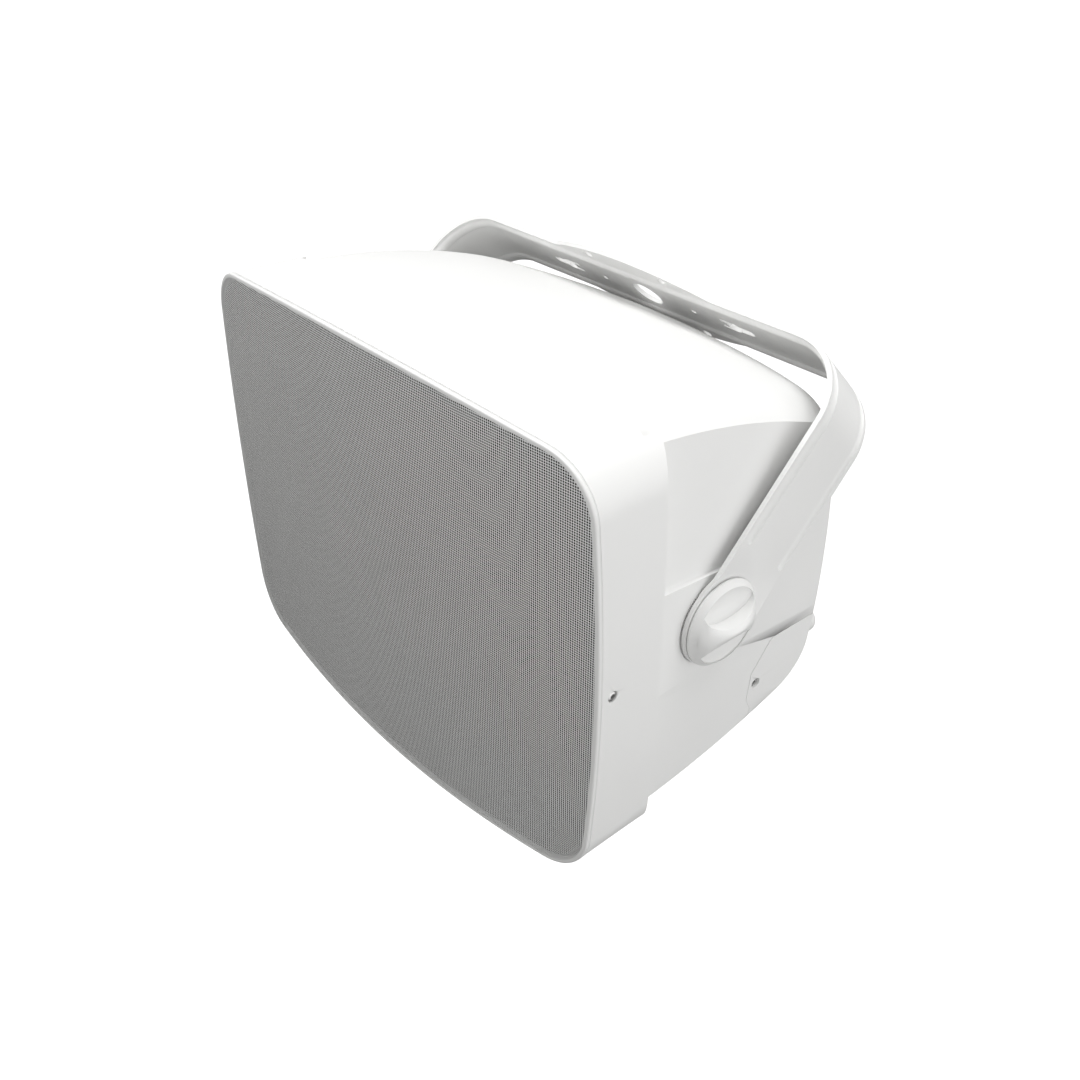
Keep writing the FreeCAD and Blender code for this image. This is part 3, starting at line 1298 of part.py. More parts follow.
def pieces():
    ring = at_rest_tilt(toothed_ring().translated(Vec(0, -PIVOT_Y, 0)))
    cap = knob_cap()
    stud = knob_stud()
    return {
        "u_bracket": u_bracket(),
        "right_toothed_ring": ring,
        "left_toothed_ring": mirrored(ring),
        "right_knob_cap": cap,
        "left_knob_cap": mirrored(cap),
        "right_knob_stud": stud,
        "left_knob_stud": mirrored(stud),
        "pivot_inserts": pivot_inserts(),
        "front_baffle": front_baffle(),
        "enclosure": enclosure(),
        "grille": grille(),
        "grille_foam": grille_foam(),
        "grille_screws": grille_screws(),
        "baffle_gasket": baffle_gasket(),
        "baffle_screws": baffle_screws(),
        "rear_cover": rear_cover(),
        "rear_cover_screws": rear_cover_screws(),
        "cable_gland": cable_gland(),
        "woofer_basket": woofer_basket(),
        "woofer_gasket": woofer_gasket(),
        "woofer_screws": woofer_screws(),
        "woofer_surround": woofer_surround(),
        "woofer_cone": woofer_cone(),
        "woofer_dust_cap": woofer_dust_cap(),
        "woofer_voice_coil": woofer_voice_coil(),
        "woofer_spider": woofer_spider(),
        "woofer_top_plate": woofer_top_plate(),
        "woofer_magnet": woofer_magnet(),
        "woofer_back_plate": woofer_back_plate(),
        "hf_horn": hf_horn(),
        "horn_screws": horn_screws(),
        "hf_driver": hf_driver(),
        "hf_driver_cap": hf_driver_cap(),
        "upper_port_tube": port_tube(PORT_Z),
        "lower_port_tube": port_tube(-PORT_Z),
        "crossover_board": crossover_board(),
        "board_screws": board_screws(),
        "crossover_inductors": crossover_inductors(),
        "crossover_capacitors": crossover_capacitors(),
        "crossover_resistor": crossover_resistor(),
        "terminal_block": terminal_block(),
        "terminal_screws": terminal_screws(),
    }


os.makedirs("parts", exist_ok=True)
for name, shape in pieces().items():
    placed = shape.translated(MOUNT * -1)
    placed.exportStep("parts/" + name + ".step")
    print(name, len(placed.Solids), "solids, valid" if placed.isValid() else "solids, NOT VALID",
          round(placed.Volume / 1000, 2), "cm3")
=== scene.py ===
# %% [markdown]
# # A wall loudspeaker in its tilting bracket
# The solid model already gives every piece its size and its place. This lesson loads it,
# gives each piece a finish, and makes with numpy what a solid modeller leaves plain: the
# thousands of holes in the grille, the scooped knobs, the fine teeth and the screw heads.

# %% Load the solid model
import json
import math

import bmesh
import bpy
import numpy as np
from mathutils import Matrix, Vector


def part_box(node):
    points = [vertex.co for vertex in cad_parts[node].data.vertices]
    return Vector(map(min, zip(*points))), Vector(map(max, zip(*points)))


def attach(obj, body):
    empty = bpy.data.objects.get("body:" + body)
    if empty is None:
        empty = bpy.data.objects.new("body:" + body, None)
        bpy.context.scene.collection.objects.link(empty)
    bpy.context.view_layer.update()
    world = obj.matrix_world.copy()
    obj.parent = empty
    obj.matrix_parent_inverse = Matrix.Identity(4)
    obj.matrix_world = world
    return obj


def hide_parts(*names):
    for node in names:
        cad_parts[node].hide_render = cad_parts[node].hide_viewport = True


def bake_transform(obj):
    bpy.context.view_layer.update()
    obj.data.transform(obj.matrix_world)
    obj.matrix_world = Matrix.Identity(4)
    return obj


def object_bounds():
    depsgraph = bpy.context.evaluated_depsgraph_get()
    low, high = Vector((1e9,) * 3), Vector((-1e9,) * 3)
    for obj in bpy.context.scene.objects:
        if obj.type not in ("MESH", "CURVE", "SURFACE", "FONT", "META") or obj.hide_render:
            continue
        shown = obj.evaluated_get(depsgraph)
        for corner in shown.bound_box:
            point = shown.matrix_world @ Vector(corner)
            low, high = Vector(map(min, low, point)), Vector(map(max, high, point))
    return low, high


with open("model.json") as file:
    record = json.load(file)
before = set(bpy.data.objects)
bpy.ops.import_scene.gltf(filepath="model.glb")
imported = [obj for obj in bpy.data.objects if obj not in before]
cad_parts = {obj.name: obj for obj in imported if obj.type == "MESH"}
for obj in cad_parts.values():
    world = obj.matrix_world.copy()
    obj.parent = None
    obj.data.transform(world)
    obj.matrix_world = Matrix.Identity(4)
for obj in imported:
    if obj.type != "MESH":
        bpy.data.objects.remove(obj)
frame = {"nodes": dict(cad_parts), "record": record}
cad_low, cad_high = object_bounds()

nodes = frame["nodes"]
bodies = frame["record"]["behaviour"]["bodies"]
body_of_node = {name: body for body, names in bodies.items() for name in names}
slot_of_node = {item["node"]: item["material_slot"] for item in frame["record"]["subparts"]}
print("nodes:", len(nodes), "box in mm:", [round(1000 * v) for v in cad_high - cad_low])

# %% [markdown]
# ## Shader sums
# A material is a graph of small nodes. Sums are easier to read as Python expressions, so one
# class wraps a socket, and adding or multiplying two of them adds a Math node.


# %% Shader sums
class Shade:
    """A socket of a node tree that can be added to or multiplied by a number or another socket."""

    def __init__(self, tree, out):
        self.tree = tree
        self.out = out

    def node(self, kind, settings=None, inputs=None, out=0):
        """Add a node of a kind, set it up, feed its sockets, and return one of its outputs."""
        made = self.tree.nodes.new(kind)
        for name, value in (settings or {}).items():
            if name == "stops":
                set_stops(made.color_ramp, value)
            else:
                setattr(made, name, value)
        for name, value in (inputs or {}).items():
            if isinstance(value, Shade):
                self.tree.links.new(value.out, made.inputs[name])
            else:
                made.inputs[name].default_value = value
        return Shade(self.tree, made.outputs[out])

    def sum(self, operation, first, second):
        return self.node("ShaderNodeMath", {"operation": operation}, {0: first, 1: second})

    def __add__(self, other):
        return self.sum("ADD", self, other)

    def __mul__(self, other):
        return self.sum("MULTIPLY", self, other)


def set_stops(ramp, stops):
    """Give a colour ramp its (position, grey or colour) stops."""
    while len(ramp.elements) < len(stops):
        ramp.elements.new(1.0)
    for element, (position, colour) in zip(ramp.elements, stops):
        element.position = position
        element.color = (*colour, 1.0)


print("shader sums ready")

# %% [markdown]
# ## A finish for every slot
# Moulded plastic, powder coat and foam all differ by three things: their colour and how it
# wanders, their gloss and how it wanders, and the grain of the surface. One function takes
# these as plain numbers, reads the place on the object, and builds the material. The grain is
# a bump far finer than any shape, so the shapes themselves stay geometry.


# %% Finishes
def finish(slot, first, second, patch, rough, rough_spread, grain, depth, fixed=None, pattern=None):
    """A material that wanders between two colours and two gloss values, with a fine grain.

    patch and grain are sizes in metres; depth is the grain's height in metres. pattern, if
    given, turns the object coordinates into a mask that takes the place of the patches.
    """
    material = bpy.data.materials.new(slot)
    material.use_nodes = True
    tree = material.node_tree
    shader = tree.nodes["Principled BSDF"]
    for name, value in (fixed or {}).items():
        shader.inputs[name].default_value = value
    place = Shade(tree, None).node("ShaderNodeTexCoord", out="Object")
    cloud = place.node("ShaderNodeTexNoise", None, {"Vector": place, "Scale": 1 / patch, "Detail": 3.0})
    mask = pattern(place) if pattern else cloud
    colour = place.node("ShaderNodeMix", {"data_type": "RGBA"},
                        {"Factor": mask, 6: (*first, 1.0), 7: (*second, 1.0)}, 2)
    fine = place.node("ShaderNodeTexNoise", None, {"Vector": place, "Scale": 1 / grain, "Detail": 2.0})
    bump = place.node("ShaderNodeBump", None, {"Strength": 1.0, "Distance": depth, "Height": fine})
    tree.links.new(colour.out, shader.inputs["Base Color"])
    tree.links.new((cloud * rough_spread + (rough - rough_spread / 2)).out, shader.inputs["Roughness"])
    tree.links.new(bump.out, shader.inputs["Normal"])
    return material


def stripes(axis, pitch):
    """A pattern of bands across one axis, a pitch apart, as wire turns or printed tracks."""
    def mask(place):
        part = place.node("ShaderNodeSeparateXYZ", None, {0: place}, axis)
        wave = place.sum("SINE", part * (2 * math.pi / pitch), 0.0)
        return wave * 0.5 + 0.5
    return mask


def speckle(size):
    """A pattern of small cells, as in foam or ground ceramic."""
    def mask(place):
        return place.node("ShaderNodeTexVoronoi", None, {"Vector": place, "Scale": 1 / size})
    return mask


def grey(value):
    """A grey with a trace less blue, as white paint has."""
    return (value, value, value * 0.99)


METAL = {"Metallic": 1.0}
finishes = {
    "cabinet_plastic": finish("cabinet_plastic", grey(0.80), grey(0.83), 0.06, 0.46, 0.06, 0.0006, 0.000006),
    "knob_plastic": finish("knob_plastic", grey(0.80), grey(0.83), 0.02, 0.40, 0.06, 0.0005, 0.000004),
    "ring_plastic": finish("ring_plastic", grey(0.74), grey(0.78), 0.01, 0.5, 0.06, 0.0005, 0.000004),
    "gland_plastic": finish("gland_plastic", grey(0.72), grey(0.76), 0.01, 0.42, 0.06, 0.0005, 0.000004),
    "bracket_paint": finish("bracket_paint", grey(0.79), grey(0.82), 0.04, 0.36, 0.08, 0.0011, 0.000008),
    "grille_paint": finish("grille_paint", grey(0.79), grey(0.82), 0.05, 0.44, 0.06, 0.0007, 0.000003),
    "plated_steel": finish("plated_steel", grey(0.46), grey(0.58), 0.004, 0.32, 0.1, 0.0004, 0.000004, METAL),
    "insert_brass": finish("insert_brass", (0.60, 0.42, 0.16), (0.70, 0.52, 0.22), 0.006, 0.3, 0.1, 0.0004,
                           0.000004, METAL),
    "foam": finish("foam", grey(0.012), grey(0.035), 0.01, 0.95, 0.04, 0.0008, 0.0002, None, speckle(0.0009)),
    "gasket_rubber": finish("gasket_rubber", grey(0.015), grey(0.03), 0.01, 0.7, 0.1, 0.0006, 0.00001),
    "basket_paint": finish("basket_paint", grey(0.018), grey(0.03), 0.02, 0.4, 0.1, 0.0008, 0.00001),
    "cone_plastic": finish("cone_plastic", grey(0.02), grey(0.04), 0.006, 0.6, 0.1, 0.0007, 0.00003),
    "coil_aluminium": finish("coil_aluminium", grey(0.5), (0.55, 0.36, 0.2), 0.01, 0.35, 0.1, 0.0004,
                             0.000004, METAL, stripes(1, 0.0006)),
    "spider_cloth": finish("spider_cloth", (0.30, 0.2, 0.07), (0.42, 0.3, 0.12), 0.01, 0.9, 0.06, 0.0004,
                           0.00005, None, stripes(0, 0.0012)),
    "ferrite": finish("ferrite", grey(0.03), grey(0.06), 0.008, 0.55, 0.1, 0.0006, 0.00002),
    "horn_plastic": finish("horn_plastic", grey(0.02), grey(0.035), 0.02, 0.45, 0.1, 0.0006, 0.000008),
    "board": finish("board", (0.01, 0.12, 0.04), (0.02, 0.2, 0.08), 0.01, 0.3, 0.1, 0.0004, 0.000003,
                    None, stripes(0, 0.008)),
    "copper": finish("copper", (0.42, 0.15, 0.06), (0.6, 0.26, 0.12), 0.01, 0.3, 0.1, 0.0004, 0.000004,
                     METAL, stripes(2, 0.0012)),
    "capacitor_film": finish("capacitor_film", (0.55, 0.36, 0.03), (0.62, 0.42, 0.05), 0.01, 0.2, 0.06,
                             0.0006, 0.000003),
    "resistor_ceramic": finish("resistor_ceramic", grey(0.6), grey(0.72), 0.002, 0.8, 0.1, 0.0004, 0.00002,
                               None, speckle(0.0012)),
    "terminal_plastic": finish("terminal_plastic", grey(0.02), grey(0.035), 0.01, 0.4, 0.1, 0.0006, 0.000008),
}
for name, node in nodes.items():
    node.data.materials.clear()
    node.data.materials.append(finishes[slot_of_node[name]])
print("finishes:", len(finishes))

# %% [markdown]
# ## Sizes read from the solids
# The new pieces must sit exactly on the solid ones, so their sizes are read from the boxes of
# the solid nodes. The grille's outline is a bowed rectangle with round corners, and its face
# is part of a wide upright cylinder.

# %% Grille sizes
MM = 0.001
grille_low, grille_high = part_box("grille")
HALF_W = (grille_high.x - grille_low.x) / 2
HALF_H = (grille_high.z - grille_low.z) / 2
MIDDLE_Z = (grille_high.z + grille_low.z) / 2
FRONT_Y = grille_low.y
CORNER = 36.5 * MM
SIDE_BOW = 9.5 * MM
TOP_BOW = 13.0 * MM
FACE_CROWN = 14.5 * MM


def bow_radius(half_chord, rise):
    """Radius of the arc that rises by so much over half a chord."""
    return (half_chord ** 2 + rise ** 2) / (2 * rise)


TOP_R = bow_radius(HALF_W, TOP_BOW)
SIDE_R = bow_radius(HALF_H, SIDE_BOW)
FACE_R = bow_radius(HALF_W, FACE_CROWN)
print("grille in mm:", round(2 * HALF_W / MM, 1), round(2 * HALF_H / MM, 1))


# %% The grille's outline and face
def face_depth(x):
    """How far the face has gone back at x: a circle of the face radius, less its flat."""
    return FACE_R - np.sqrt(FACE_R ** 2 - x ** 2)


def corner_centre():
    """Where the top bow and the side bow, both drawn in by the corner radius, cross."""
    top, side = np.array([0.0, HALF_H - TOP_R]), np.array([HALF_W - SIDE_R, 0.0])
    reach_top, reach_side = TOP_R - CORNER, SIDE_R - CORNER
    span = np.linalg.norm(side - top)
    along = (reach_top ** 2 - reach_side ** 2 + span ** 2) / (2 * span)
    aside = math.sqrt(reach_top ** 2 - along ** 2)
    unit = (side - top) / span
    first = top + along * unit + aside * np.array([-unit[1], unit[0]])
    second = top + along * unit - aside * np.array([-unit[1], unit[0]])
    return first if first.sum() > second.sum() else second


def sweep_arc(centre, radius, start, end, count):
    """Points on a circle from one angle to another, without the last."""
    angle = np.linspace(start, end, count, endpoint=False)
    return centre + radius * np.stack([np.cos(angle), np.sin(angle)], 1)


def outline(inset, bow_count=40, corner_count=16):
    """The outline drawn in by an inset, anticlockwise from the right, as (x, z) points.

    A quarter is half the side bow, the corner arc and half the top bow, each about its own
    centre with its radius less the inset; the other quarters are its mirror images.
    """
    corner = corner_centre()
    side, top = np.array([HALF_W - SIDE_R, 0.0]), np.array([0.0, HALF_H - TOP_R])
    low = math.atan2(*(corner - side)[::-1])
    high = math.atan2(*(corner - top)[::-1])
    quarter = np.concatenate([
        sweep_arc(side, SIDE_R - inset, 0.0, low, bow_count),
        sweep_arc(corner, CORNER - inset, low, high, corner_count),
        sweep_arc(top, TOP_R - inset, high, math.pi / 2, bow_count),
        [[0.0, HALF_H - inset]],
    ])
    flip_x, flip_z = np.array([-1.0, 1.0]), np.array([1.0, -1.0])
    upper = np.concatenate([quarter, (quarter * flip_x)[::-1][1:]])
    return np.concatenate([upper, (upper * flip_z)[::-1][1:-1]])


def inside_depth(x, z):
    """How far a point lies inside the outline: the least of its distances to the bows and the corner."""
    ax, az = np.abs(x), np.abs(z)
    corner = corner_centre()
    to_top = TOP_R - np.hypot(ax, az - (HALF_H - TOP_R))
    to_side = SIDE_R - np.hypot(ax - (HALF_W - SIDE_R), az)
    to_corner = CORNER - np.hypot(ax - corner[0], az - corner[1])
    in_corner = (ax > corner[0]) & (az > corner[1])
    depth = np.minimum(to_top, to_side)
    return np.where(in_corner, np.minimum(depth, to_corner), depth)


print("outline points:", len(outline(0.0)))

# %% [markdown]
# ## From arrays to meshes
# Every new piece ends here: one array of points, one of faces. The helper links the object,
# hangs it on the body it moves with, gives it its finish and hides the solid node it stands for.


# %% Mesh helpers
def piece(name, points, faces, body, slot, stands_for=(), smooth=True):
    """Put points and faces into a mesh object that rides on a body of the solid model, if one is named."""
    mesh = bpy.data.meshes.new(name)
    mesh.from_pydata(points.tolist(), [], faces.tolist())
    mesh.update()
    return dress(name, mesh, body, slot, stands_for, smooth)


def dress(name, mesh, body, slot, stands_for, smooth):
    """Link a mesh as an object, give it its finish, hang it on its body and hide the nodes it stands for."""
    made = bpy.data.objects.new(name, mesh)
    bpy.context.scene.collection.objects.link(made)
    mesh.materials.clear()
    mesh.materials.append(finishes[slot])
    mesh.polygons.foreach_set("use_smooth", np.full(len(mesh.polygons), smooth))
    if body:
        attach(made, body)
    if stands_for:
        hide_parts(*stands_for)
    print(name, "faces:", len(mesh.polygons))
    return made


def loop_faces(rows, columns):
    """Quads between rows of points, each row a closed ring of columns."""
    i, j = np.meshgrid(np.arange(rows - 1), np.arange(columns), indexing="ij")
    start, after = i * columns, (j + 1) % columns
    corners = [start + j, start + after, start + columns + after, start + columns + j]
    return np.stack(corners, -1).reshape(-1, 4)


print("mesh helpers ready")


# %% [markdown]
# ## The perforated face
# A real grille is punched with tens of thousands of small round holes in a square grid. Each
# hole here is a true opening: a square of sheet with an eight-sided hole, twelve triangles,
# repeated on the grid and bent to the face. The sheet is cut into upright panels so that no
# mesh grows too heavy. A smooth margin runs over the last holes at the edge.

# %% Perforated panels
PITCH = 1.5 * MM
HOLE_R = 0.58 * MM
MARGIN = 2.6 * MM
PANELS = 4
SKIN = 0.03 * MM


def hole_cells(centres):
    """Squares of sheet with an eight-sided hole, one round each centre, as points and triangles.

    Points 0 to 7 are the hole's corners at odd multiples of a sixteenth of a turn, points 8 to
    11 are the square's corners; each side of the square and each of its corners joins the hole.
    """
    turn = (np.arange(8) + 0.5) * math.pi / 4
    hole = HOLE_R * np.stack([np.cos(turn), np.sin(turn)], 1)
    square = PITCH / 2 * np.array([[1, 1], [-1, 1], [-1, -1], [1, -1]])
    cell = np.concatenate([hole, square])
    corner_fans = [(8 + q, 2 * q + 1, 2 * q) for q in range(4)]
    side_fans = []
    for q in range(4):
        after = (q + 1) % 4
        a, b = 2 * q + 1, (2 * q + 2) % 8
        side_fans += [(8 + q, b, a), (8 + q, 8 + after, b)]
    triangles = np.array(corner_fans + side_fans)
    flat = (centres[:, None, :] + cell[None]).reshape(-1, 2)
    faces = (np.arange(len(centres))[:, None, None] * len(cell) + triangles[None]).reshape(-1, 3)
    return flat, faces


def on_face(flat, back=0.0):
    """Bend flat (x, z) points onto the grille's face, a little way back."""
    return np.stack([flat[:, 0], FRONT_Y + back + face_depth(flat[:, 0]), MIDDLE_Z + flat[:, 1]], 1)


across = np.arange(-math.floor(HALF_W / PITCH), math.floor(HALF_W / PITCH) + 1) * PITCH
upward = np.arange(-math.floor(HALF_H / PITCH), math.floor(HALF_H / PITCH) + 1) * PITCH
grid = np.stack(np.meshgrid(across, upward, indexing="ij"), -1).reshape(-1, 2)
grid = grid[inside_depth(grid[:, 0], grid[:, 1]) > MARGIN - PITCH / 2]
for index, part in enumerate(np.array_split(grid, PANELS)):
    flat, faces = hole_cells(part)
    piece(f"grille_panel_{index + 1}", on_face(flat, SKIN), faces, "cabinet", "grille_paint",
          ("grille",), False)
print("holes:", len(grid))

# %% [markdown]
# ## The grille's rolled edge
# At the rim the sheet is plain, turns over a small radius and is hemmed a few millimetres
# deep. That is one profile carried round the outline: each profile point is an inset from the
# outline and a depth behind the face.

# %% Rolled edge
ROLL = 1.1 * MM
HEM = 3.0 * MM


def edge_profile(steps=6):
    """Inset and depth from the margin's inner edge, round the roll, down the hem and back under."""
    turn = np.linspace(0.0, math.pi / 2, steps)
    roll = np.stack([ROLL - ROLL * np.sin(turn), ROLL - ROLL * np.cos(turn)], 1)
    return np.concatenate([[[MARGIN, 0.0]], roll, [[0.0, HEM], [MARGIN, HEM]]])


profile = edge_profile()
rings = np.stack([outline(inset) for inset, _ in profile])
rim = np.concatenate([on_face(ring, depth) for ring, (_, depth) in zip(rings, profile)])
piece("grille_edge", rim, loop_faces(len(profile), rings.shape[1]), "cabinet", "grille_paint", ("grille",))

# %% [markdown]
# ## Smooth skins for the mouldings
# The solid nodes come as loose triangles. A copy with its doubles merged can share normals
# across them, so that a rounded moulding shades as one surface while true edges stay crisp.

# %% Smooth copies
SHARP = math.radians(19)
MERGE = 0.004 * MM


def smooth_copy(name):
    """A merged copy of a node, shaded smooth except across edges sharper than a limit."""
    mesh = nodes[name].data.copy()
    work = bmesh.new()
    work.from_mesh(mesh)
    bmesh.ops.remove_doubles(work, verts=work.verts, dist=MERGE)
    work.to_mesh(mesh)
    work.free()
    made = dress(name + "_skin", mesh, body_of_node[name], slot_of_node[name], (name,), True)
    mesh.set_sharp_from_angle(angle=SHARP)
    weighted = made.modifiers.new("weighted", "WEIGHTED_NORMAL")
    weighted.keep_sharp = True


for name in ("front_baffle", "enclosure", "rear_cover", "u_bracket", "cable_gland"):
    smooth_copy(name)

# %% [markdown]
# ## The clamping knobs
# A knob has a sloping rim, a bar across the middle for thumb and finger, and a scoop above and
# below the bar. A solid modeller would cut the scoops with a tool. Here every line that the eye
# reads, such as the rim, the valley of a scoop or the top edge of the bar, is one row of points
# with the same steps along the bar, and the skin is stretched from row to row. At the tips of a
# scoop the rows run together, as they do in the moulding.

# %% Knob shape
KNOB_RIM_R = 24.6 * MM
KNOB_RIM_H = 5.0 * MM
KNOB_EDGE_H = 2.0 * MM
KNOB_FOOT_R = 20.0 * MM
FOOT_ROUND = 0.3 * MM
EDGE_IN, EDGE_DOWN = 0.4 * MM, 0.5 * MM
SCOOP_TIP = 20.3 * MM
SCOOP_STEP = 1.0 * MM
SCOOP_DROP = 2.2 * MM
LIP_REACH, LIP_H = 9.3 * MM, -0.4 * MM
BAR_REACH, BAR_H = 10.2 * MM, 7.6 * MM
RIDGE_CURVE = 0.75
VALLEY_CURVE = 0.8
END_STEPS, SCOOP_STEPS = 8, 48


def between(first, second, count):
    """Rows in a straight line between two rows, the second row left out."""
    share = np.linspace(0.0, 1.0, count, endpoint=False)[:, None, None]
    return first + (second - first) * share


def crown(first, second, count):
    """Rows from the bar's edge to its ridge: even steps across, the height along a quarter sine."""
    share = np.linspace(0.0, 1.0, count)[:, None, None] * np.ones((1, 1, 3))
    share[..., 2] = np.sin(share[..., 2] * math.pi / 2)
    return first + (second - first) * share


def knob_half(radius, rise):
    """The upper half of a knob as rows of (along, up, out) points, from its foot to the bar's ridge.

    All rows share the places along the bar: the rim's radius times the cosine of an even angle.
    The scoop's rows leave the rim by a reach times the root of one less the squared share of the
    way to the scoop's tip, which is nothing at the tips and all of it in the middle.
    """
    tip = math.acos(SCOOP_TIP / KNOB_RIM_R)
    angle = np.concatenate([np.linspace(math.pi, math.pi - tip, END_STEPS + 1)[:-1],
                            np.linspace(math.pi - tip, tip, SCOOP_STEPS + 1),
                            np.linspace(tip, 0.0, END_STEPS + 1)[1:]])
    along, up = KNOB_RIM_R * np.cos(angle), KNOB_RIM_R * np.sin(angle)
    swell = np.sqrt(np.clip(1 - (along / SCOOP_TIP) ** 2, 0.0, None))

    def ring(r, out):
        return np.stack([r * np.cos(angle), r * np.sin(angle), np.full(len(angle), out)], 1)

    def row(height, out):
        return np.stack([along, height, out], 1)

    level = np.where(swell > 0, KNOB_RIM_R * math.sin(tip), up)
    rim = row(up, np.full(len(angle), KNOB_RIM_H))
    inner = row(up - 0.4 * SCOOP_STEP * swell ** 0.5, KNOB_RIM_H - SCOOP_STEP * swell ** 0.5)
    valley = row(level, KNOB_RIM_H - SCOOP_DROP * swell ** VALLEY_CURVE)
    lip = row(level - LIP_REACH * swell, KNOB_RIM_H + LIP_H * swell)
    edge = row(level - BAR_REACH * swell, KNOB_RIM_H + BAR_H * swell)
    arch = np.clip(1 - (along / KNOB_RIM_R) ** 2, 0.0, None) ** RIDGE_CURVE
    ridge = row(np.zeros(len(angle)), KNOB_RIM_H + (rise - KNOB_RIM_H) * arch)
    return np.concatenate([
        [ring(KNOB_FOOT_R, 0.0), ring(radius - FOOT_ROUND, 0.0), ring(radius, FOOT_ROUND),
         ring(radius, KNOB_EDGE_H - EDGE_DOWN), ring(radius - EDGE_IN, KNOB_EDGE_H)],
        [rim], between(inner, valley, 5), between(valley, lip, 5), between(lip, edge, 4),
        crown(edge, ridge, 9)])


print("scoop in mm:", round(2 * SCOOP_TIP / MM, 1), "long")

# %% [markdown]
# ## Setting the knobs in place
# One half is made and turned by half a turn to give the other, since the knob looks the same
# either way up. The points where the rows run together are then merged, and the edges that are
# crisp on the moulding are marked sharp.


# %% Knob caps
KNOB_SHARP = math.radians(22)


def strip_faces(rows, columns):
    """Quads between rows of points that aren't closed into rings."""
    i, j = np.meshgrid(np.arange(rows - 1), np.arange(columns - 1), indexing="ij")
    corner = i * columns + j
    return np.stack([corner, corner + 1, corner + columns + 1, corner + columns], -1).reshape(-1, 4)


def seal(made, limit):
    """Merge the points that meet, drop faces without area, and keep edges sharper than a limit crisp."""
    work = bmesh.new()
    work.from_mesh(made.data)
    bmesh.ops.remove_doubles(work, verts=work.verts, dist=MERGE)
    bmesh.ops.dissolve_degenerate(work, edges=work.edges, dist=MERGE)
    bmesh.ops.recalc_face_normals(work, faces=work.faces)
    work.to_mesh(made.data)
    work.free()
    made.data.set_sharp_from_angle(angle=limit)


def knob(name, side):
    """Two halves, the second turned half a turn, set on the node's seat on the right (1) or left (-1)."""
    low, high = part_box(name)
    seat = low.x if side > 0 else -high.x
    half = knob_half((high.z - low.z) / 2, high.x - low.x)
    faces = strip_faces(*half.shape[:2])
    upper = half.reshape(-1, 3)
    both = np.concatenate([upper, upper * [-1.0, -1.0, 1.0]])
    placed = np.stack([side * (seat + both[:, 2]), (low.y + high.y) / 2 + side * both[:, 0],
                       (low.z + high.z) / 2 + both[:, 1]], 1)
    made = piece(name + "_form", placed, np.concatenate([faces, faces + len(upper)]),
                 body_of_node[name], slot_of_node[name], (name,))
    seal(made, KNOB_SHARP)


knob("right_knob_cap", 1)
knob("left_knob_cap", -1)

# %% [markdown]
# ## The clamping rings
# Under each eye of the bracket lies a ring with fine radial teeth, and the knob presses the two
# together so that the tilt can't slip. From the side only a row of dark notches shows. The ring
# is six circles of points, and one at the rim steps up and down from tooth to notch.

# %% Toothed rings
RING_SHARP = math.radians(15)
TEETH = 120
TOOTH = 1.1 * MM
TOOTH_REACH = 5.0 * MM
RING_BORE = 12.0 * MM


def toothed_ring(name, side):
    """Circles at the bore, the tooth roots and the rim; at the rim every second point drops by a tooth."""
    low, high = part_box(name)
    back, face = (low.x, high.x) if side > 0 else (-high.x, -low.x)
    rim_r = (high.z - low.z) / 2
    angle = np.arange(2 * TEETH) * math.pi / TEETH
    notch = np.where(np.arange(2 * TEETH) % 2, TOOTH, 0.0)
    flat = np.zeros(2 * TEETH)
    behind, floor = back + flat, face - TOOTH + flat
    circles = [(RING_BORE, behind), (RING_BORE, floor), (rim_r - TOOTH_REACH, floor),
               (rim_r, face - notch), (rim_r, behind), (RING_BORE, behind)]
    points = np.concatenate([
        np.stack([side * x, (low.y + high.y) / 2 + side * r * np.cos(angle),
                  (low.z + high.z) / 2 + r * np.sin(angle)], 1) for r, x in circles])
    made = piece(name + "_form", points, loop_faces(len(circles), 2 * TEETH), body_of_node[name],
                 slot_of_node[name], (name,), False)
    seal(made, RING_SHARP)


toothed_ring("right_toothed_ring", 1)
toothed_ring("left_toothed_ring", -1)

# %% [markdown]
# ## The screws on the flanks
# Two screws hold the front moulding and two hold the rear cover. Each has a domed head with a
# six-sided socket. A profile is turned about the screw's axis; in the socket the radius
# follows a hexagon in place of a circle, so its flats come out true.

# %% Socket screws
SOCKET = 1.4 * MM
SOCKET_DEPTH = 1.3 * MM
SHANK_R = 1.5 * MM
SHANK = 7.0 * MM
SIDES = 48
SCREW_SHARP = math.radians(30)
HEAD_ROWS = [(1.0, 0.55), (0.9, 0.22), (0.7, 0.04)]


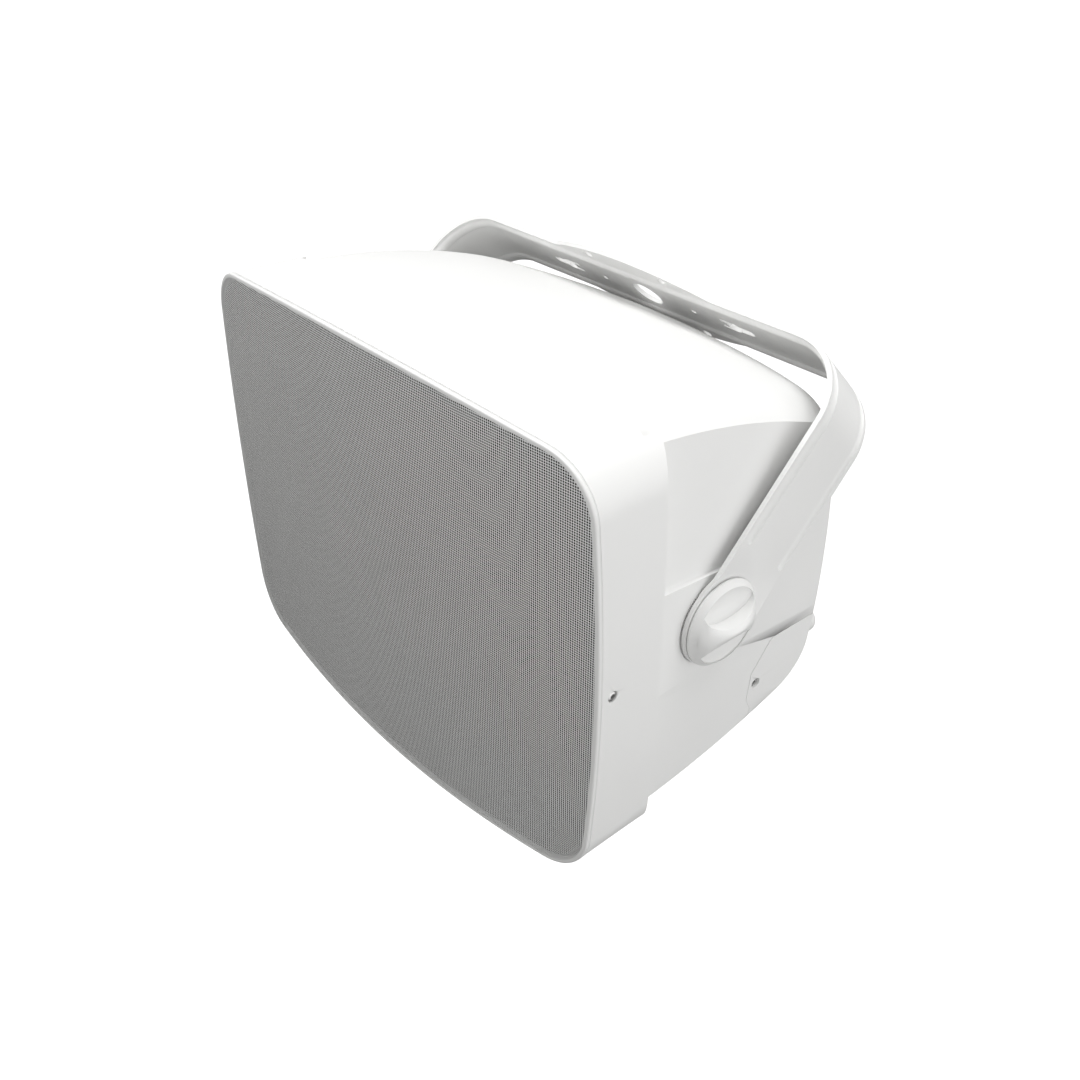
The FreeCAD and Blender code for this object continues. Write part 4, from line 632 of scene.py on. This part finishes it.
def socket_screw(name, sink, head_h):
    """A screw on each flank: rows of radius and height, turned about the screw's axis.

    They run from the tip of the shank over the head and into the socket. HEAD_ROWS holds shares
    of the head's radius and of its height below the top.
    """
    low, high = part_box(name)
    head_r = (high.z - low.z) / 2
    top = high.x - sink
    angle = np.arange(SIDES) * 2 * math.pi / SIDES
    hexagon = 1 / np.cos((angle + math.pi / 6) % (math.pi / 3) - math.pi / 6)
    circle = np.ones(SIDES)
    tip = -SHANK - head_h
    rows = [(0.0, tip, circle), (SHANK_R, tip, circle), (SHANK_R, -head_h, circle),
            (head_r, -head_h, circle)]
    rows += [(r * head_r, -down * head_h, circle) for r, down in HEAD_ROWS]
    rows += [(1.1 * SOCKET, 0.0, hexagon), (SOCKET, -0.1 * MM, hexagon),
             (SOCKET, -SOCKET_DEPTH, hexagon), (0.0, -SOCKET_DEPTH, circle)]
    one = np.concatenate([np.stack([
        top + height * circle, r * shape * np.cos(angle), r * shape * np.sin(angle)], 1)
        for r, height, shape in rows])
    middle = np.array([0.0, (low.y + high.y) / 2, (low.z + high.z) / 2])
    both = np.concatenate([one + middle, one * [-1.0, -1.0, 1.0] + middle])
    faces = loop_faces(len(rows), SIDES)
    made = piece(name + "_form", both, np.concatenate([faces, faces + len(one)]),
                 body_of_node[name], slot_of_node[name], (name,))
    seal(made, SCREW_SHARP)


socket_screw("grille_screws", 0.0, 1.6 * MM)
socket_screw("rear_cover_screws", 0.9 * MM, 1.0 * MM)

# %% [markdown]
# ## The woofer's cloth spider
# The spider is a pleated ring of stiffened cloth that centres the voice coil. Its rim is glued
# to the basket and its bore to the coil, so it must bend when the cone travels. Here the ring is
# made as narrow sectors that ride on no body and stay where they are.

# %% Spider sectors
SECTORS = 16
SECTOR_COLUMNS = 7
PLEAT_SHARP = math.radians(15)
PLEATS = 4
PLEAT = 2.0 * MM
CLOTH = 0.8 * MM
SPIDER_BORE_R = 19.8 * MM
LEDGE = 4.7 * MM


def spider_sector(index, low, high):
    """One sector: a closed zigzag profile of radius and depth, swept through a slice of a turn."""
    rim_r = (high.z - low.z) / 2
    centre = np.array([(low.x + high.x) / 2, 0.0, (low.z + high.z) / 2])
    radius = np.append(np.linspace(SPIDER_BORE_R, rim_r - LEDGE, 2 * PLEATS + 1), rim_r)
    fold = np.arange(2 * PLEATS + 2)
    back = high.y - PLEAT * (fold % 2) * (fold <= 2 * PLEATS)
    loop_r = np.concatenate([radius, radius[::-1], radius[:1]])
    loop_y = np.concatenate([back, (back - CLOTH)[::-1], back[:1]])
    width = 2 * math.pi / SECTORS
    angle = index * width + np.linspace(-width / 2, width / 2, SECTOR_COLUMNS)
    r, depth = loop_r[:, None], loop_y[:, None] * np.ones(SECTOR_COLUMNS)
    points = np.stack([r * np.cos(angle), depth, r * np.sin(angle)], -1).reshape(-1, 3) + centre
    made = piece(f"woofer_spider_{index + 1}", points, strip_faces(len(loop_r), SECTOR_COLUMNS), None,
                 "spider_cloth", ("woofer_spider",), False)
    seal(made, PLEAT_SHARP)
    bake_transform(made)


spider_low, spider_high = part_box("woofer_spider")
for index in range(SECTORS):
    spider_sector(index, spider_low, spider_high)

# %% [markdown]
# ## The white ground
# The photograph has a white ground without a shadow. The ground here is a wide white ball that
# only the camera sees, so no bounce creeps up from it, and every view has the same white behind
# the part.

# %% Backdrop
BACKDROP_R = 8.0


def backdrop():
    """A wide white ball round the part that only the camera sees, so that it lights nothing."""
    ball = bmesh.new()
    bmesh.ops.create_uvsphere(ball, u_segments=32, v_segments=16, radius=BACKDROP_R)
    mesh = bpy.data.meshes.new("backdrop")
    ball.to_mesh(mesh)
    ball.free()
    made = bpy.data.objects.new("backdrop", mesh)
    bpy.context.scene.collection.objects.link(made)
    white = bpy.data.materials.new("backdrop")
    white.use_nodes = True
    shader = white.node_tree.nodes["Principled BSDF"]
    shader.inputs["Emission Color"].default_value = (1.0, 1.0, 1.0, 1.0)
    shader.inputs["Emission Strength"].default_value = 1.0
    mesh.materials.append(white)
    made.visible_diffuse = False
    made.visible_glossy = False
    made.visible_shadow = False
    made.visible_transmission = False


backdrop()
print("backdrop radius in metres:", BACKDROP_R)

# %% [markdown]
# ## Sky and lamps
# A soft sky is brightest at the horizon and black below, so the underside falls dark. Three wide
# square lamps do the rest: one above, one before the grille and one low on the right.

# %% Sky and lamps
SKY = 1.0
SKY_STOPS = [(0.2, grey(0.0)), (0.5, grey(0.55)), (0.75, grey(0.3)), (1.0, grey(0.3))]
LAMPS = {
    "key_lamp": ((0.25, 0.25, 1.70), 1.5, 26.0),
    "front_lamp": ((-0.5, -1.15, 1.29), 1.3, 15.0),
    "side_lamp": ((1.7, 0.35, -0.45), 2.2, 21.0),
}


def area_light(name, place, target, size, power):
    """A square soft light that looks at a point."""
    lamp = bpy.data.lights.new(name, "AREA")
    lamp.size = size
    lamp.energy = power
    made = bpy.data.objects.new(name, lamp)
    made.location = place
    made.rotation_euler = (target - place).to_track_quat("-Z", "Y").to_euler()
    bpy.context.scene.collection.objects.link(made)


world = bpy.data.worlds.new("studio")
bpy.context.scene.world = world
world.use_nodes = True
sky = world.node_tree.nodes["Background"]
sky.inputs["Strength"].default_value = SKY
look = Shade(world.node_tree, None).node("ShaderNodeTexCoord", out="Generated")
height = look.node("ShaderNodeSeparateXYZ", None, {0: look}, 2)
glow = look.node("ShaderNodeValToRGB", {"stops": SKY_STOPS}, {"Fac": height * 0.5 + 0.5})
world.node_tree.links.new(glow.out, sky.inputs["Color"])
middle = (cad_low + cad_high) / 2
for name, (way, size, power) in LAMPS.items():
    area_light(name, middle + Vector(way), middle, size, power)
print("lamps:", len(LAMPS))

# %% [markdown]
# ## The camera
# Its place, its line of sight and its lens were solved from the photograph, so that the part
# falls on the same pixels.

# %% Camera
CAMERA = Vector((0.5301, -0.5509, 0.2881))
FORWARD = Vector((-0.6400, 0.5475, -0.5390))
LENS = 39.63
camera_data = bpy.data.cameras.new("camera")
camera_data.lens = LENS
camera_data.sensor_width = 36.0
camera_data.clip_start = 0.01
camera = bpy.data.objects.new("camera", camera_data)
camera.location = CAMERA
camera.rotation_euler = FORWARD.to_track_quat("-Z", "Y").to_euler()
bpy.context.scene.collection.objects.link(camera)
bpy.context.scene.camera = camera
bpy.context.scene.view_settings.view_transform = "Standard"
print("camera at", [round(v, 3) for v in CAMERA])
